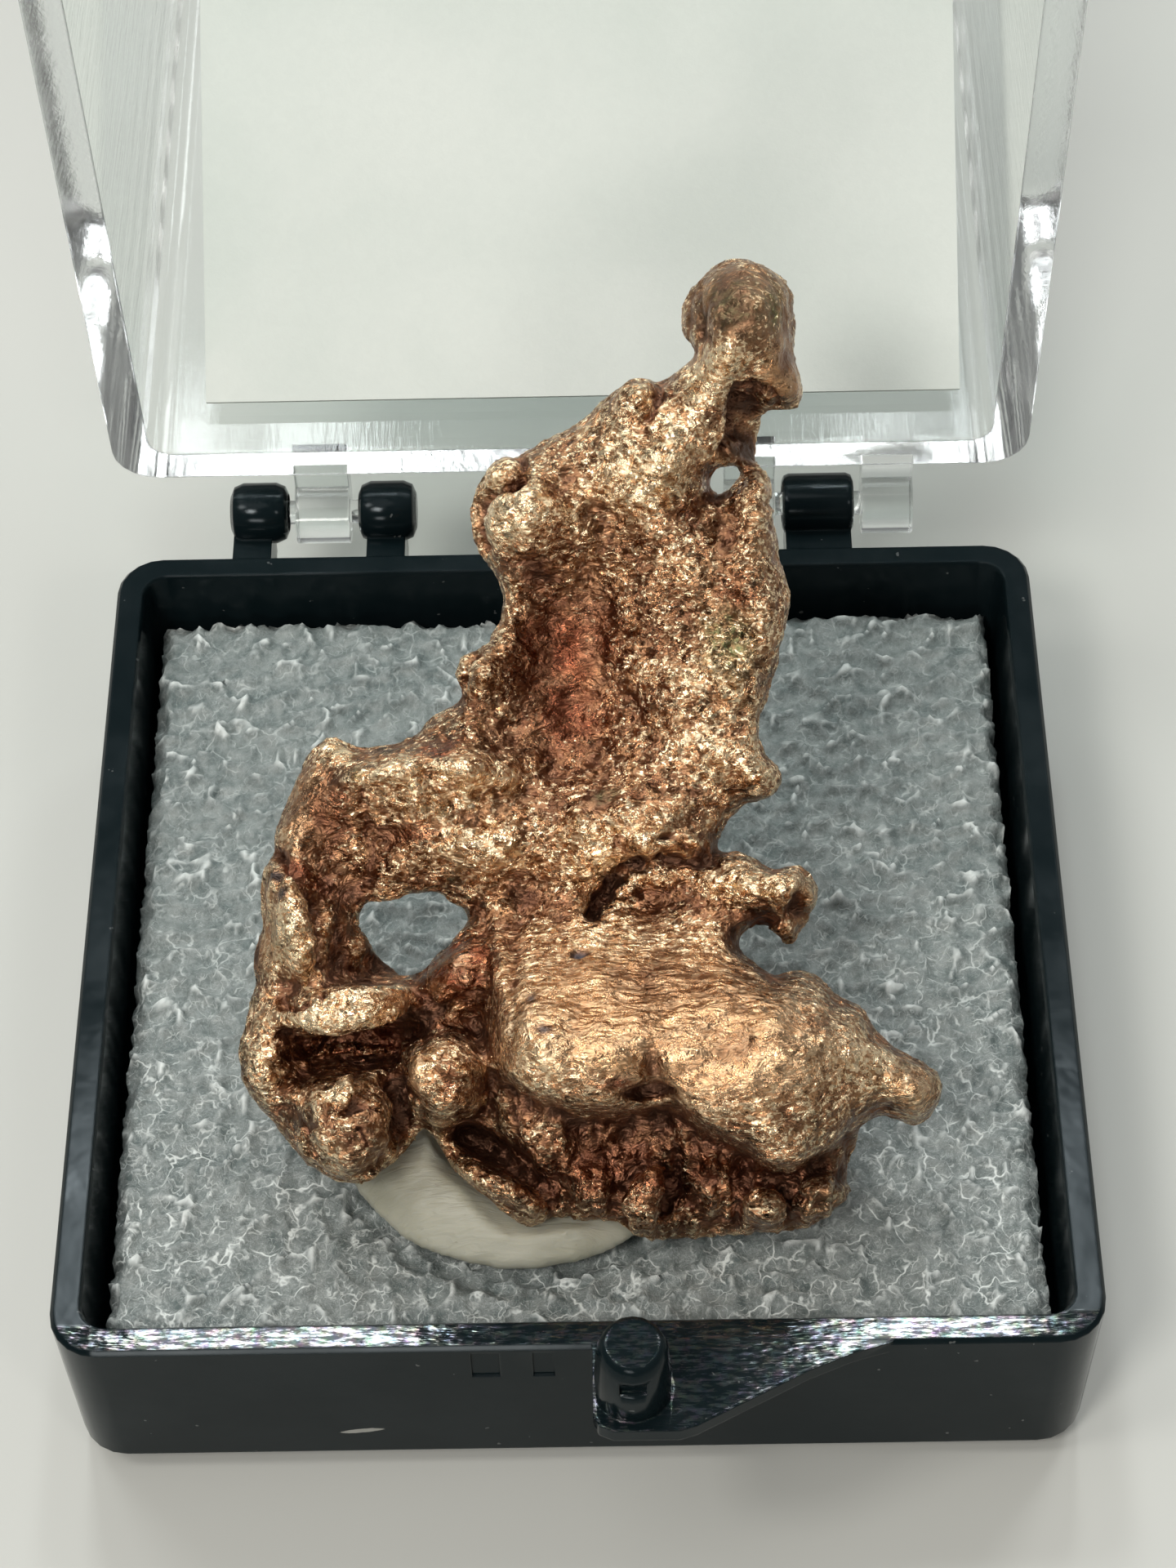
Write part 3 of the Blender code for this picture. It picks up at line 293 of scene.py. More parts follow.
# Lights: name, place, width and height, watts, colour.
LIGHTS = (
    ("above", (-60, -40, 330), (190, 150), 0.11, (1.0, 0.985, 0.955)),
    ("window_left", (-190, 210, 330), (120, 160), 0.27, (0.97, 0.99, 1.0)),
    ("window_right", (170, 230, 330), (90, 160), 0.35, (0.97, 0.99, 1.0)),
    ("right_of_camera", (130, -190, 250), (40, 40), 0.08, (1.0, 0.97, 0.93)),
    ("left_of_camera", (-95, -160, 255), (60, 60), 0.37, (1.0, 0.97, 0.93)),
    ("left_high", (-165, -60, 270), (60, 60), 0.16, (1.0, 0.97, 0.93)),
    ("front_low", (-60, -330, 130), (120, 50), 0.24, (1.0, 0.97, 0.93)),
    ("far_pane_left", (-57, 225, 443), (50, 90), 0.42, (0.95, 0.99, 1.0)),
    ("far_pane_right", (49, 225, 443), (32, 90), 0.28, (0.95, 0.99, 1.0)),
)
LIGHTS_AIM = (0, 0, 10)
FLOOR_HALF_WIDTH = 1.5

FOAM_STEP = 0.15
FOAM_CELL = 0.95
# Hollow that the putty and the specimen press into the foam: centre, half-widths, depth.
FOAM_PRESS = ((-1.7, -7.5), (6.2, 5.5), 0.8)
PUTTY_RISE = 0.22
# Pale scuff on the front wall: x, z, half-width, half-height.
SCUFF = (-6.75, 2.35, 0.75, 0.14)


class Shader:
    """A material's nodes, with short calls for the kinds that are used here."""

    def __init__(self, name):
        self.material = bpy.data.materials.new(name)
        self.material.use_nodes = True
        self.tree = self.material.node_tree
        self.main = self.tree.nodes["Principled BSDF"]
        place = self.node("ShaderNodeTexCoord").outputs["Object"]
        self.mm = self.vector("SCALE", place, scale=1 / MM)

    def node(self, kind, **settings):
        made = self.tree.nodes.new(kind)
        for name, value in settings.items():
            setattr(made, name, value)
        return made

    def put(self, socket, value):
        if isinstance(value, bpy.types.NodeSocket):
            self.tree.links.new(value, socket)
        else:
            socket.default_value = value

    def set(self, **values):
        """Sets sockets of the Principled shader, spaces in their names written as underscores."""
        for name, value in values.items():
            self.put(self.main.inputs[name.replace("_", " ")], value)

    def math(self, operation, a, b=0.0, clamp=False):
        made = self.node("ShaderNodeMath", operation=operation, use_clamp=clamp)
        self.put(made.inputs[0], a)
        self.put(made.inputs[1], b)
        return made.outputs[0]

    def vector(self, operation, a, b=None, scale=None):
        made = self.node("ShaderNodeVectorMath", operation=operation)
        self.put(made.inputs[0], a)
        if b is not None:
            self.put(made.inputs[1], b)
        if scale is not None:
            self.put(made.inputs["Scale"], scale)
        return made.outputs["Vector"]

    def mix(self, share, a, b):
        made = self.node("ShaderNodeMix", data_type="RGBA")
        self.put(made.inputs[0], share)
        self.put(made.inputs[6], (*a, 1) if isinstance(a, tuple) else a)
        self.put(made.inputs[7], (*b, 1) if isinstance(b, tuple) else b)
        return made.outputs[2]

    def noise(self, scale, detail=3.0, roughness=0.5, distortion=0.0, place=None):
        made = self.node("ShaderNodeTexNoise")
        self.put(made.inputs["Vector"], self.mm if place is None else place)
        self.put(made.inputs["Scale"], scale)
        self.put(made.inputs["Detail"], detail)
        self.put(made.inputs["Roughness"], roughness)
        self.put(made.inputs["Distortion"], distortion)
        return made.outputs["Fac"]

    def noise_colour(self, scale):
        made = self.node("ShaderNodeTexNoise")
        self.put(made.inputs["Vector"], self.mm)
        self.put(made.inputs["Scale"], scale)
        return made.outputs["Color"]

    def shaken(self, scale, reach):
        """The place, moved about by coloured noise of the given scale."""
        return self.vector("ADD", self.mm, self.vector("SCALE", self.noise_colour(scale), scale=reach))

    def stretched(self, *factors):
        return self.vector("MULTIPLY", self.mm, factors)

    def cells(self, size, feature="F1", place=None):
        made = self.node("ShaderNodeTexVoronoi", feature=feature)
        self.put(made.inputs["Vector"], self.mm if place is None else place)
        self.put(made.inputs["Scale"], 1 / size)
        return made

    def ramp(self, value, low, high, to_low=0.0, to_high=1.0):
        made = self.node("ShaderNodeMapRange", interpolation_type="SMOOTHSTEP")
        for socket, given in zip(made.inputs, (value, low, high, to_low, to_high)):
            self.put(socket, given)
        return made.outputs[0]

    def attribute(self, name):
        return self.node("ShaderNodeAttribute", attribute_name=name)

    def split(self, value):
        made = self.node("ShaderNodeSeparateXYZ")
        self.put(made.inputs[0], value)
        return made.outputs

    def bump(self, height, distance, strength, normal=None):
        """A bump of the given depth in millimetres."""
        made = self.node("ShaderNodeBump")
        self.put(made.inputs["Height"], height)
        self.put(made.inputs["Distance"], distance * MM)
        self.put(made.inputs["Strength"], strength)
        if normal is not None:
            self.put(made.inputs["Normal"], normal)
        return made.outputs[0]

    def rounded(self, radius):
        """A normal that rounds hard edges by the radius in millimetres."""
        made = self.node("ShaderNodeBevel", samples=4)
        made.inputs["Radius"].default_value = radius * MM
        return made.outputs[0]


def piece_from(name, mesh, body, node, finish):
    made = bpy.data.objects.new(name, mesh)
    bpy.context.scene.collection.objects.link(made)
    mesh.materials.clear()
    mesh.materials.append(finish)
    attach(made, body)
    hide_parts(node)
    return made


def welded(node):
    """A copy of a CAD node's mesh with its vertices joined up."""
    bm = bmesh.new()
    bm.from_mesh(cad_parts[node].data)
    bmesh.ops.remove_doubles(bm, verts=bm.verts, dist=2e-6)
    bmesh.ops.dissolve_limit(bm, angle_limit=math.radians(0.2), verts=bm.verts, edges=bm.edges)
    mesh = bpy.data.meshes.new(node + "_fine")
    bm.to_mesh(mesh)
    bm.free()
    return mesh


def changed(mesh, **modifiers):
    """The mesh as the given modifiers leave it."""
    holder = bpy.data.objects.new("holder", mesh)
    bpy.context.scene.collection.objects.link(holder)
    for kind, settings in modifiers.items():
        modifier = holder.modifiers.new(kind, kind)
        for name, value in settings.items():
            setattr(modifier, name, value)
    graph = bpy.context.evaluated_depsgraph_get()
    made = bpy.data.meshes.new_from_object(
        holder.evaluated_get(graph), preserve_all_data_layers=True, depsgraph=graph)
    bpy.data.objects.remove(holder)
    return made


def smooth_copy(node):
    """A CAD node's mesh, shaded smooth up to its sharp edges."""
    mesh = welded(node)
    mesh.shade_smooth()
    mesh.set_sharp_from_angle(angle=math.radians(SHARP_ANGLE))
    return changed(mesh, WEIGHTED_NORMAL={"keep_sharp": True, "weight": 100})


def remeshed(mesh, voxel, passes):
    """The mesh, remade of even small faces and eased a little."""
    remesh = {"mode": "VOXEL", "voxel_size": voxel * MM}
    return changed(mesh, REMESH=remesh, SMOOTH={"factor": 0.5, "iterations": passes})


def vectors_of(mesh, name):
    flat = np.empty(len(mesh.vertices) * 3, np.float32)
    mesh.vertices.foreach_get(name, flat)
    return flat.reshape(-1, 3).astype(float)


def points_and_normals(mesh):
    return vectors_of(mesh, "co") / MM, vectors_of(mesh, "normal")


def move_points(mesh, points):
    mesh.vertices.foreach_set("co", (points * MM).astype(np.float32).ravel())
    mesh.update()


def eased(mesh, values, passes):
    """Values at the vertices, averaged with their neighbours several times."""
    pairs = np.empty(len(mesh.edges) * 2, np.int32)
    mesh.edges.foreach_get("vertices", pairs)
    a, b = pairs.reshape(-1, 2).T
    count = len(mesh.vertices)
    degree = np.bincount(a, minlength=count) + np.bincount(b, minlength=count)
    for _ in range(passes):
        total = np.zeros_like(values)
        for column in range(values.shape[1]):
            total[:, column] = np.bincount(a, values[b, column], count)
            total[:, column] += np.bincount(b, values[a, column], count)
        values = 0.5 * values + 0.5 * total / np.maximum(degree, 1)[:, None]
    return values


def smooth_step(x):
    x = np.clip(x, 0, 1)
    return x * x * (3 - 2 * x)


def distance_to(u, v, line):
    """Distance of each point from the nearest stretch of the line."""
    best = np.full(len(u), np.inf)
    for (u0, v0), (u1, v1) in zip(line, line[1:]):
        du, dv = u1 - u0, v1 - v0
        t = np.clip(((u - u0) * du + (v - v0) * dv) / (du * du + dv * dv), 0, 1)
        best = np.minimum(best, np.hypot(u - u0 - t * du, v - v0 - t * dv))
    return best


def ellipse(u, v, at_u, at_v, half_u, half_v, turn):
    """Squared distance from the middle of a turned ellipse, 1 on its edge."""
    c, s = math.cos(math.radians(turn)), math.sin(math.radians(turn))
    du, dv = u - at_u, v - at_v
    return ((du * c + dv * s) / half_u) ** 2 + ((dv * c - du * s) / half_v) ** 2


def places(u, v, table):
    """How strongly each point lies in the table's places."""
    total = np.zeros(len(u))
    for *shape, strength in table:
        total = np.maximum(total, strength * np.exp(-(ellipse(u, v, *shape) ** 1.6)))
    return total


def forms(u, v, table):
    """Height of the table's forms at each point, flat on top and steep at the side."""
    total = np.zeros(len(u))
    for *shape, height in table:
        total += height * np.exp(-(ellipse(u, v, *shape) ** 2))
    return total


def wave(points, size, seed):
    """Smooth noise between about -1 and 1, with lumps of the given size."""
    return np.array([noise.noise(Vector(p)) for p in points / size + seed])


def facets(points, size, seed):
    """Small flat faces tilted every which way, as on crumpled foil."""
    out = np.empty(len(points))
    for i, p in enumerate(points / size + seed):
        nearest = noise.voronoi(Vector(p))[1][0]
        tilt = noise.noise_vector(nearest * 7.31)
        out[i] = tilt.dot(Vector(p) - nearest)
    return out * size


def sheet_axes():
    """The directions of u, v and w, as columns."""
    turn = Euler((0, 0, math.radians(SHEET_TURN))).to_matrix()
    lean = Euler((math.radians(SHEET_LEAN), 0, 0)).to_matrix()
    spin = Euler((0, 0, math.radians(SHEET_SPIN))).to_matrix()
    return np.array(turn @ lean @ spin)


def colour_layer(mesh, name, *channels):
    rows = np.column_stack([*channels, np.ones(len(channels[0]))]).astype(np.float32)
    mesh.attributes.new(name, "FLOAT_COLOR", "POINT").data.foreach_set("color", rows.ravel())


def copper_relief(points, u, v, front, wall, flake):
    """How far each point is pushed out: lumps, flakes, fibres of the wall, fine forms and creases."""
    push = 0.08 * wave(points, 1.3, 3.0) + 0.05 * wave(points, 0.6, 9.0)
    push += flake * (0.2 * facets(points, 0.5, 4.0) + 0.22 * facets(points, 0.25, 8.0))
    angular = places(u, v, ANGULAR_PLACES) * front
    push += 0.7 * angular * facets(points, 1.3, 14.0)
    fibres = wave(np.column_stack([u * 3.2, v * 0.9, 0 * u]), 1.0, 61.0)
    push += 0.22 * wall * front * fibres
    bend_u, bend_v = 0.16 * wave(points, 0.45, 71.0), 0.16 * wave(points, 0.45, 75.0)
    push += front * forms(u + 0.6 * bend_u, v + 0.6 * bend_v, FINE_FORMS)
    for depth, half_width, line in CREASES:
        away = distance_to(u + bend_u, v + bend_v, line)
        push -= depth * front * np.exp(-((away / half_width) ** 2))
    return push


def copper_tones(points, hollow, u, v, front, wall, below):
    """Shares of dark, red, gold, green and blue at each point. Dark is tarnish and painted shade: the
    wall under the lip carries painted shade, hollows are darker and ridges lighter and more gold.
    """
    dark = places(u, v, DARK_PLACES) * front
    # painted shade on the wall under the lip, darkest just below it
    dark = np.maximum(dark, 0.42 * wall * np.clip(1.2 - 0.16 * below, 0.35, 1))
    dark = np.maximum(dark, 0.45 * (1 - front))
    dark = dark + np.clip(hollow * 5.0, -0.25, 0.9)
    dark = np.clip(dark * (1 + 0.6 * wave(points, 0.7, 21.0)), 0, 1)
    red = np.clip(places(u, v, RED_PLACES) * front * (1 + 0.8 * wave(points, 0.6, 31.0)), 0, 1)
    dark = dark * (1 - 0.5 * red)
    gold = places(u, v, GOLD_PLACES) * front * (1 - 0.8 * wall)
    gold = np.clip(gold + 0.3 * wave(points, 0.9, 41.0) - np.clip(hollow * 4, -0.4, 0.3), 0, 1)
    green = np.clip(places(u, v, GREEN_PLACES) * front * (1 + wave(points, 0.4, 51.0)), 0, 1)
    blue = np.zeros(len(u))
    for spot in SPOTS:
        blue = np.maximum(blue, np.exp(-(ellipse(u, v, *spot, 0) ** 2)) * front)
    return dark, red, gold, green, blue


def copper_piece(finish):
    """The copper: the CAD shape made finer, then creased, crumpled and given its tones."""
    mesh = remeshed(welded("native_copper"), COPPER_VOXEL, 2)
    points, normals = points_and_normals(mesh)
    axes = sheet_axes()
    local = (points - np.array(SHEET_ORIGIN)) @ axes
    scale = 1 - local[:, 2] / SEEN_FROM
    u, v = local[:, 0] / scale, local[:, 1] / scale
    front = smooth_step((normals @ axes[:, 2] + 0.1) / 0.5)
    below = np.interp(u, *np.array(LIP).T) - v
    wall = smooth_step(below / 0.35 + 0.5) * smooth_step((u + 3.2) / 0.8) * smooth_step((8.9 - u) / 0.5)
    smooth = places(u, v, SMOOTH_PLACES) * front
    flake = np.clip(1 - smooth, 0.12, 1)

    points = points + normals * copper_relief(points, u, v, front, wall, flake)[:, None]
    move_points(mesh, points)
    hollow = np.einsum("ij,ij->i", eased(mesh, points, 40) - points, normals)
    dark, red, gold, green, blue = copper_tones(points, hollow, u, v, front, wall, below)
    colour_layer(mesh, "tones", dark, red, gold)
    colour_layer(mesh, "surface", flake, green, blue)
    mesh.shade_smooth()
    return piece_from("native_copper_fine", mesh, "base", "native_copper", finish)


def copper_finish():
    """Bare and tarnished metal with painted shade, broken into small bright flakes where it isn't smooth;
    the flakes carry painted glints.
    """
    s = Shader("copper_fine")
    dark, red, gold = s.split(s.attribute("tones").outputs["Color"])
    flake, green, blue = s.split(s.attribute("surface").outputs["Color"])
    grain = s.noise(5.5, 5, 0.72)
    blotch = s.noise(1.5, 4, 0.65, 0.4)
    share = s.math("ADD", s.math("MULTIPLY", gold, 0.8), s.ramp(blotch, 0.4, 0.7, 0.0, 0.45), True)
    colour = s.mix(share, COPPER_BROWN, COPPER_GOLD)
    colour = s.mix(s.math("MULTIPLY", red, s.ramp(grain, 0.35, 0.6, 0.6, 1.0)), colour, COPPER_RED)
    specks = s.math("MULTIPLY", s.ramp(grain, 0.5, 0.66, 0.0, 0.6), s.ramp(flake, 0.1, 0.6, 0.3, 1.0))
    # tarnish and painted shade, both carried in the dark share
    tarnish_and_shade = s.math("ADD", dark, specks, True)
    colour = s.mix(s.math("MULTIPLY", tarnish_and_shade, 0.9), colour, TARNISH_AND_SHADE_BROWN)
    colour = s.mix(s.ramp(dark, 0.7, 1.0, 0.0, 0.75), colour, DEEP_TARNISH_AND_SHADE)
    colour = s.mix(s.math("MULTIPLY", green, s.ramp(grain, 0.4, 0.6, 0.2, 0.75)), colour, GREEN_BLOOM)
    colour = s.mix(s.math("MULTIPLY", blue, 0.85), colour, BLUE_SPOT)
    # small bright leaves of clean metal, thick where the tone is gold; their bright colour is partly
    # painted glint, and the sheen on gold places is painted sheen
    dull = s.math("ADD", s.math("MULTIPLY", dark, 0.16), s.math("MULTIPLY", red, 0.09))
    limit = s.math("SUBTRACT", s.math("ADD", dull, 0.548), s.math("MULTIPLY", gold, 0.095))
    leaf_glint_noise = s.noise(6.0, 5, 0.68, 0.6, s.stretched(0.75, 1.15, 1.15))
    leaf_glint = s.ramp(leaf_glint_noise, limit, s.math("ADD", limit, 0.025))
    painted_sheen = s.noise(2.3, 4, 0.6, 0.5, s.stretched(0.5, 1.2, 1.2))
    painted_sheen = s.math("MULTIPLY", s.ramp(painted_sheen, 0.44, 0.66, 0.0, 0.32), gold)
    leaf_glint = s.math("MULTIPLY", leaf_glint, s.ramp(flake, 0.2, 0.7, 0.14, 1.0))
    leaf_glint = s.math("MAXIMUM", leaf_glint, s.math("MULTIPLY", painted_sheen, s.ramp(flake, 0.2, 0.7, 1.0, 0.2)))
    leaf_glint = s.math("MULTIPLY", leaf_glint, s.ramp(blue, 0.1, 0.5, 1.0, 0.0))
    colour = s.mix(leaf_glint, colour, COPPER_LEAF_GLINT)
    shaken = s.shaken(5.0, 0.22)
    normal = s.node("ShaderNodeNewGeometry").outputs["Normal"]
    for size, tilt in ((0.42, 0.7), (0.2, 0.7)):
        face = s.vector("SUBTRACT", s.cells(size, place=shaken).outputs["Color"], (0.5, 0.5, 0.5))
        face = s.vector("SCALE", face, scale=s.math("MULTIPLY", flake, tilt))
        normal = s.vector("ADD", normal, face)
    normal = s.vector("NORMALIZE", normal)
    ripple = s.noise(2.1, 4, 0.55, 0.6, s.stretched(0.8, 1.4, 1.4))
    normal = s.bump(ripple, 0.26, 0.9, normal)
    rough = s.ramp(s.noise(2.6, 4, 0.6), 0.3, 0.7, 0.17, 0.33)
    rough = s.math("ADD", rough, s.math("MULTIPLY", dark, 0.25))
    normal = s.bump(leaf_glint, 0.02, 0.6, normal)
    s.set(Base_Color=colour, Metallic=1.0, Roughness=rough, Normal=normal)
    return s.material


def cell_pattern(x, y, size, seed):
    """Distance to the nearest cell centre and how much further the next one is, in millimetres."""
    rng = np.random.default_rng(seed)
    count = int(40 / size) + 6
    shift = rng.uniform(0.08, 0.92, (count, count, 2))
    gx, gy = (x + 18) / size + 2, (y + 18) / size + 2
    ix, iy = np.floor(gx).astype(int), np.floor(gy).astype(int)
    first, second = np.full(len(x), 9.0), np.full(len(x), 9.0)
    for dx in (-1, 0, 1):
        for dy in (-1, 0, 1):
            cx, cy = ix + dx, iy + dy
            away = np.hypot(cx + shift[cx, cy, 0] - gx, cy + shift[cx, cy, 1] - gy)
            second = np.minimum(second, np.maximum(first, away))
            first = np.minimum(first, away)
    return first * size, (second - first) * size


def foam_relief(x, y, low, high):
    """Height of the torn top at each point, the shift of its ragged edge, and the share of pale web."""
    flat = np.column_stack([x, y, np.zeros(len(x))])
    bend_x, bend_y = 0.35 * wave(flat, 0.9, 1.0), 0.35 * wave(flat, 0.9, 5.0)
    near, gap = cell_pattern(x + bend_x, y + bend_y, FOAM_CELL, 4)
    _, small_gap = cell_pattern(x + 1.6 * bend_y, y + 1.6 * bend_x, FOAM_CELL * 0.52, 9)
    torn = 0.5 + 0.9 * wave(flat, 0.7, 12.0)
    web = np.exp(-((gap / 0.13) ** 2))
    small_web = np.exp(-((small_gap / 0.09) ** 2)) * smooth_step(0.5 + 1.2 * wave(flat, 1.6, 15.0))
    z = high[2] - 0.34 + 0.1 * wave(flat, 3.5, 7.0)
    z += 0.3 * web * np.clip(torn, 0, 1.2) + 0.12 * small_web * np.clip(torn, 0, 1)
    z -= 0.22 * np.clip(1 - near / (0.6 * FOAM_CELL), 0, 1) ** 0.7
    tear = 0.25 * wave(flat, 0.5, 19.0)
    edge = np.minimum(np.minimum(x - low[0], high[0] - x), np.minimum(y - low[1], high[1] - y))
    z -= 0.5 * np.clip(1 - (edge + tear) / 0.5, 0, 1)
    (press_x, press_y), (half_x, half_y), depth = FOAM_PRESS
    z -= depth * np.sqrt(np.clip(1 - np.hypot((x - press_x) / half_x, (y - press_y) / half_y) ** 2, 0, 1))
    sides = ((x, high[0]), (y, high[1]))
    inward = np.column_stack([np.where(np.abs(c) > limit - 1, -np.sign(c), 0) for c, limit in sides])
    ragged = np.abs(wave(flat, 0.6, 23.0))[:, None] * 0.3 * smooth_step(1 - edge / 0.6)[:, None] * inward
    share = np.clip(web * np.clip(torn, 0, 1) + 0.6 * small_web * np.clip(torn, 0, 1), 0, 1)
    return z, ragged, share


def pad_mesh(name, points, columns, bottom):
    """A closed pad: a grid of points for its top, upright sides and a flat bottom."""
    bm = bmesh.new()
    verts = [bm.verts.new(tuple(p)) for p in points * MM]
    for j in range(len(verts) // columns - 1):
        for i in range(columns - 1):
            k = j * columns + i
            bm.faces.new((verts[k], verts[k + 1], verts[k + columns + 1], verts[k + columns]))
    border = [e for e in bm.edges if e.is_boundary]
    skirt = bmesh.ops.extrude_edge_only(bm, edges=border)["geom"]
    for vert in (g for g in skirt if isinstance(g, bmesh.types.BMVert)):
        vert.co.z = bottom * MM
    bmesh.ops.holes_fill(bm, edges=[e for e in bm.edges if e.is_boundary], sides=0)
    bmesh.ops.recalc_face_normals(bm, faces=bm.faces)
    mesh = bpy.data.meshes.new(name)
    bm.to_mesh(mesh)
    bm.free()
    return mesh


def foam_piece(finish):
    """The pad: a torn sheet of foam cells, with thin upstanding webs between the cells."""
    low, high = (np.array(c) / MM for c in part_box("foam_pad"))
    xs = np.arange(low[0], high[0] + FOAM_STEP / 2, FOAM_STEP)
    ys = np.arange(low[1], high[1] + FOAM_STEP / 2, FOAM_STEP)
    x, y = (g.ravel() for g in np.meshgrid(xs, ys))
    z, ragged, share = foam_relief(x, y, low, high)
    top = np.column_stack([x + ragged[:, 0], y + ragged[:, 1], z])
    mesh = pad_mesh("foam_pad_fine", top, len(xs), low[2])
    values = np.zeros(len(mesh.vertices), np.float32)
    values[:len(x)] = share
    mesh.attributes.new("web", "FLOAT", "POINT").data.foreach_set("value", values)
    mesh.shade_smooth()
    made = piece_from("foam_pad_fine", mesh, "base", "foam_pad", finish)
    return made


def foam_finish():
    """Translucent foam: dim cells in a web of pale torn threads."""
    s = Shader("foam_fine")
    web = s.attribute("web").outputs["Fac"]
    shaken = s.shaken(1.6, 0.8)
    lines = []
    near = s.ramp(s.split(s.mm)[1], 8.0, -13.0, 0.32, 1.0)
    for size, width, strength in ((0.95, 0.06, 0.9), (0.5, 0.05, 0.6)):
        edge = s.cells(size, "DISTANCE_TO_EDGE", shaken).outputs["Distance"]
        patchy = s.ramp(s.noise(1.1 / size, 3, 0.6), 0.42, 0.62, 0.0, strength)
        line = s.ramp(edge, 0.0, width, 1.0, 0.0)
        lines.append(s.math("MULTIPLY", line, s.math("MULTIPLY", patchy, near)))
    threads = s.noise(2.2, 6, 0.75, 1.8)
    thread = s.ramp(s.math("ABSOLUTE", s.math("SUBTRACT", threads, 0.5)), 0.0, 0.014, 0.55, 0.0)
    thread = s.math("MULTIPLY", thread, near)
    share = s.math("MAXIMUM", s.math("MAXIMUM", lines[0], lines[1]), thread)
    share = s.math("MAXIMUM", share, s.ramp(web, 0.3, 1.0, 0.0, 0.8))
    patch = s.ramp(s.noise(0.4, 3), 0.35, 0.7)
    grain = s.ramp(s.noise(1.7, 4, 0.65), 0.3, 0.7)
    under = s.mix(patch, FOAM_DIM, FOAM_MIDDLE)
    under = s.mix(s.math("MULTIPLY", grain, 0.8), under, FOAM_PALE)
    s.set(Base_Color=s.mix(share, under, FOAM_WEB), Roughness=0.5)
    s.set(Normal=s.bump(s.noise(6, 4, 0.7, 0.8), 0.08, 0.8))
    return s.material


def putty_piece(finish):
    """The putty: the CAD blob made smooth, swelling up to the copper, with faint finger marks."""
    mesh = remeshed(welded("putty"), PUTTY_VOXEL, 6)
    points, normals = points_and_normals(mesh)
    rise = PUTTY_RISE * np.clip(normals[:, 2], 0, 1)
    marks = 0.03 * wave(points * (1.0, 2.5, 1.0), 0.5, 6.0) + 0.07 * wave(points, 1.5, 2.0)
    points = points + normals * marks[:, None]
    points[:, 2] += rise
    move_points(mesh, points)
    mesh.shade_smooth()
    return piece_from("putty_fine", mesh, "base", "putty", finish)


def putty_finish():
    s = Shader("putty_fine")
    cloud = s.noise(0.5, 3)
    specks = s.ramp(s.noise(3.4, 3, 0.6), 0.68, 0.74)
    colour = s.mix(s.ramp(cloud, 0.3, 0.7), PUTTY_DIM, PUTTY_PALE)
    colour = s.mix(s.math("MULTIPLY", specks, 0.35), colour, PUTTY_SPECK)
    streak = s.noise(2.0, 4, 0.5, 0.6, s.stretched(0.6, 2.6, 1.0))
    s.set(Base_Color=colour, Roughness=s.ramp(cloud, 0.3, 0.7, 0.38, 0.55))
    s.set(Subsurface_Weight=0.3, Subsurface_Radius=(1.0, 0.8, 0.5), Subsurface_Scale=0.0008)
    s.set(Normal=s.bump(streak, 0.12, 0.5))
    return s.material


def base_finish():
    """Glossy black plastic, with a fine bright grain on the front rim and on the latch tab."""
    s = Shader("black_plastic_fine")
    x, y, z = s.split(s.mm)
    up = s.split(s.node("ShaderNodeNewGeometry").outputs["Normal"])[2]
    on_top = s.math("MULTIPLY", s.ramp(up, 0.75, 0.95), s.ramp(z, 7.2, 7.45))
    grain = s.math("MULTIPLY", on_top, s.ramp(y, -15.0, -14.8, 1.0, 0.0))
    haze = s.noise(0.35, 4, 0.6)
    colour = s.mix(s.ramp(haze, 0.35, 0.7), BLACK_DEEP, BLACK_HAZY)
    sx = s.math("DIVIDE", s.math("SUBTRACT", x, SCUFF[0]), SCUFF[2])
    sz = s.math("DIVIDE", s.math("SUBTRACT", z, SCUFF[1]), SCUFF[3])
    tilt = s.math("SUBTRACT", sz, s.math("MULTIPLY", sx, 0.8))
    reach = s.math("ADD", s.math("MULTIPLY", sx, sx), s.math("MULTIPLY", tilt, tilt))
    scuff = s.ramp(s.math("ADD", reach, s.math("MULTIPLY", s.noise(6, 3), 0.7)), 0.9, 1.3, 1.0, 0.0)
    scuff = s.math("MULTIPLY", scuff, s.ramp(y, -15.4, -15.2, 1.0, 0.0))
    dust = s.ramp(s.noise(2.6, 2, 0.5), 0.735, 0.76)
    colour = s.mix(s.math("MULTIPLY", dust, 0.25), colour, DUST)
    colour = s.mix(scuff, colour, SCUFF_COLOUR)
    rough = s.math("ADD", s.ramp(haze, 0.3, 0.7, 0.1, 0.18), s.math("MULTIPLY", scuff, 0.4))
    rough = s.math("MULTIPLY", rough, s.math("SUBTRACT", 1.0, s.math("MULTIPLY", grain, 0.6)))
    brushed = s.stretched(0.2, 1.0, 1.0)
    normal = s.bump(s.noise(11, 1.5, 0.5, 0.0, brushed), 0.004, grain, s.rounded(0.12))
    normal = s.bump(s.noise(0.5, 3, 0.5), 0.03, 0.4, normal)
    s.set(Specular_Tint=s.mix(s.math("MULTIPLY", grain, 0.7), BLACK_GLOSS_TINT, s.noise_colour(4.0)))
    speck = s.ramp(s.noise(8, 5, 0.75, 0.0, brushed), 0.45, 0.6, 0.0, 1.0)
    s.set(Specular_IOR_Level=s.math("ADD", 0.13, s.math("MULTIPLY", grain, speck)))
    s.set(Base_Color=colour, Roughness=rough, Normal=normal, IOR=1.5)
    return s.material


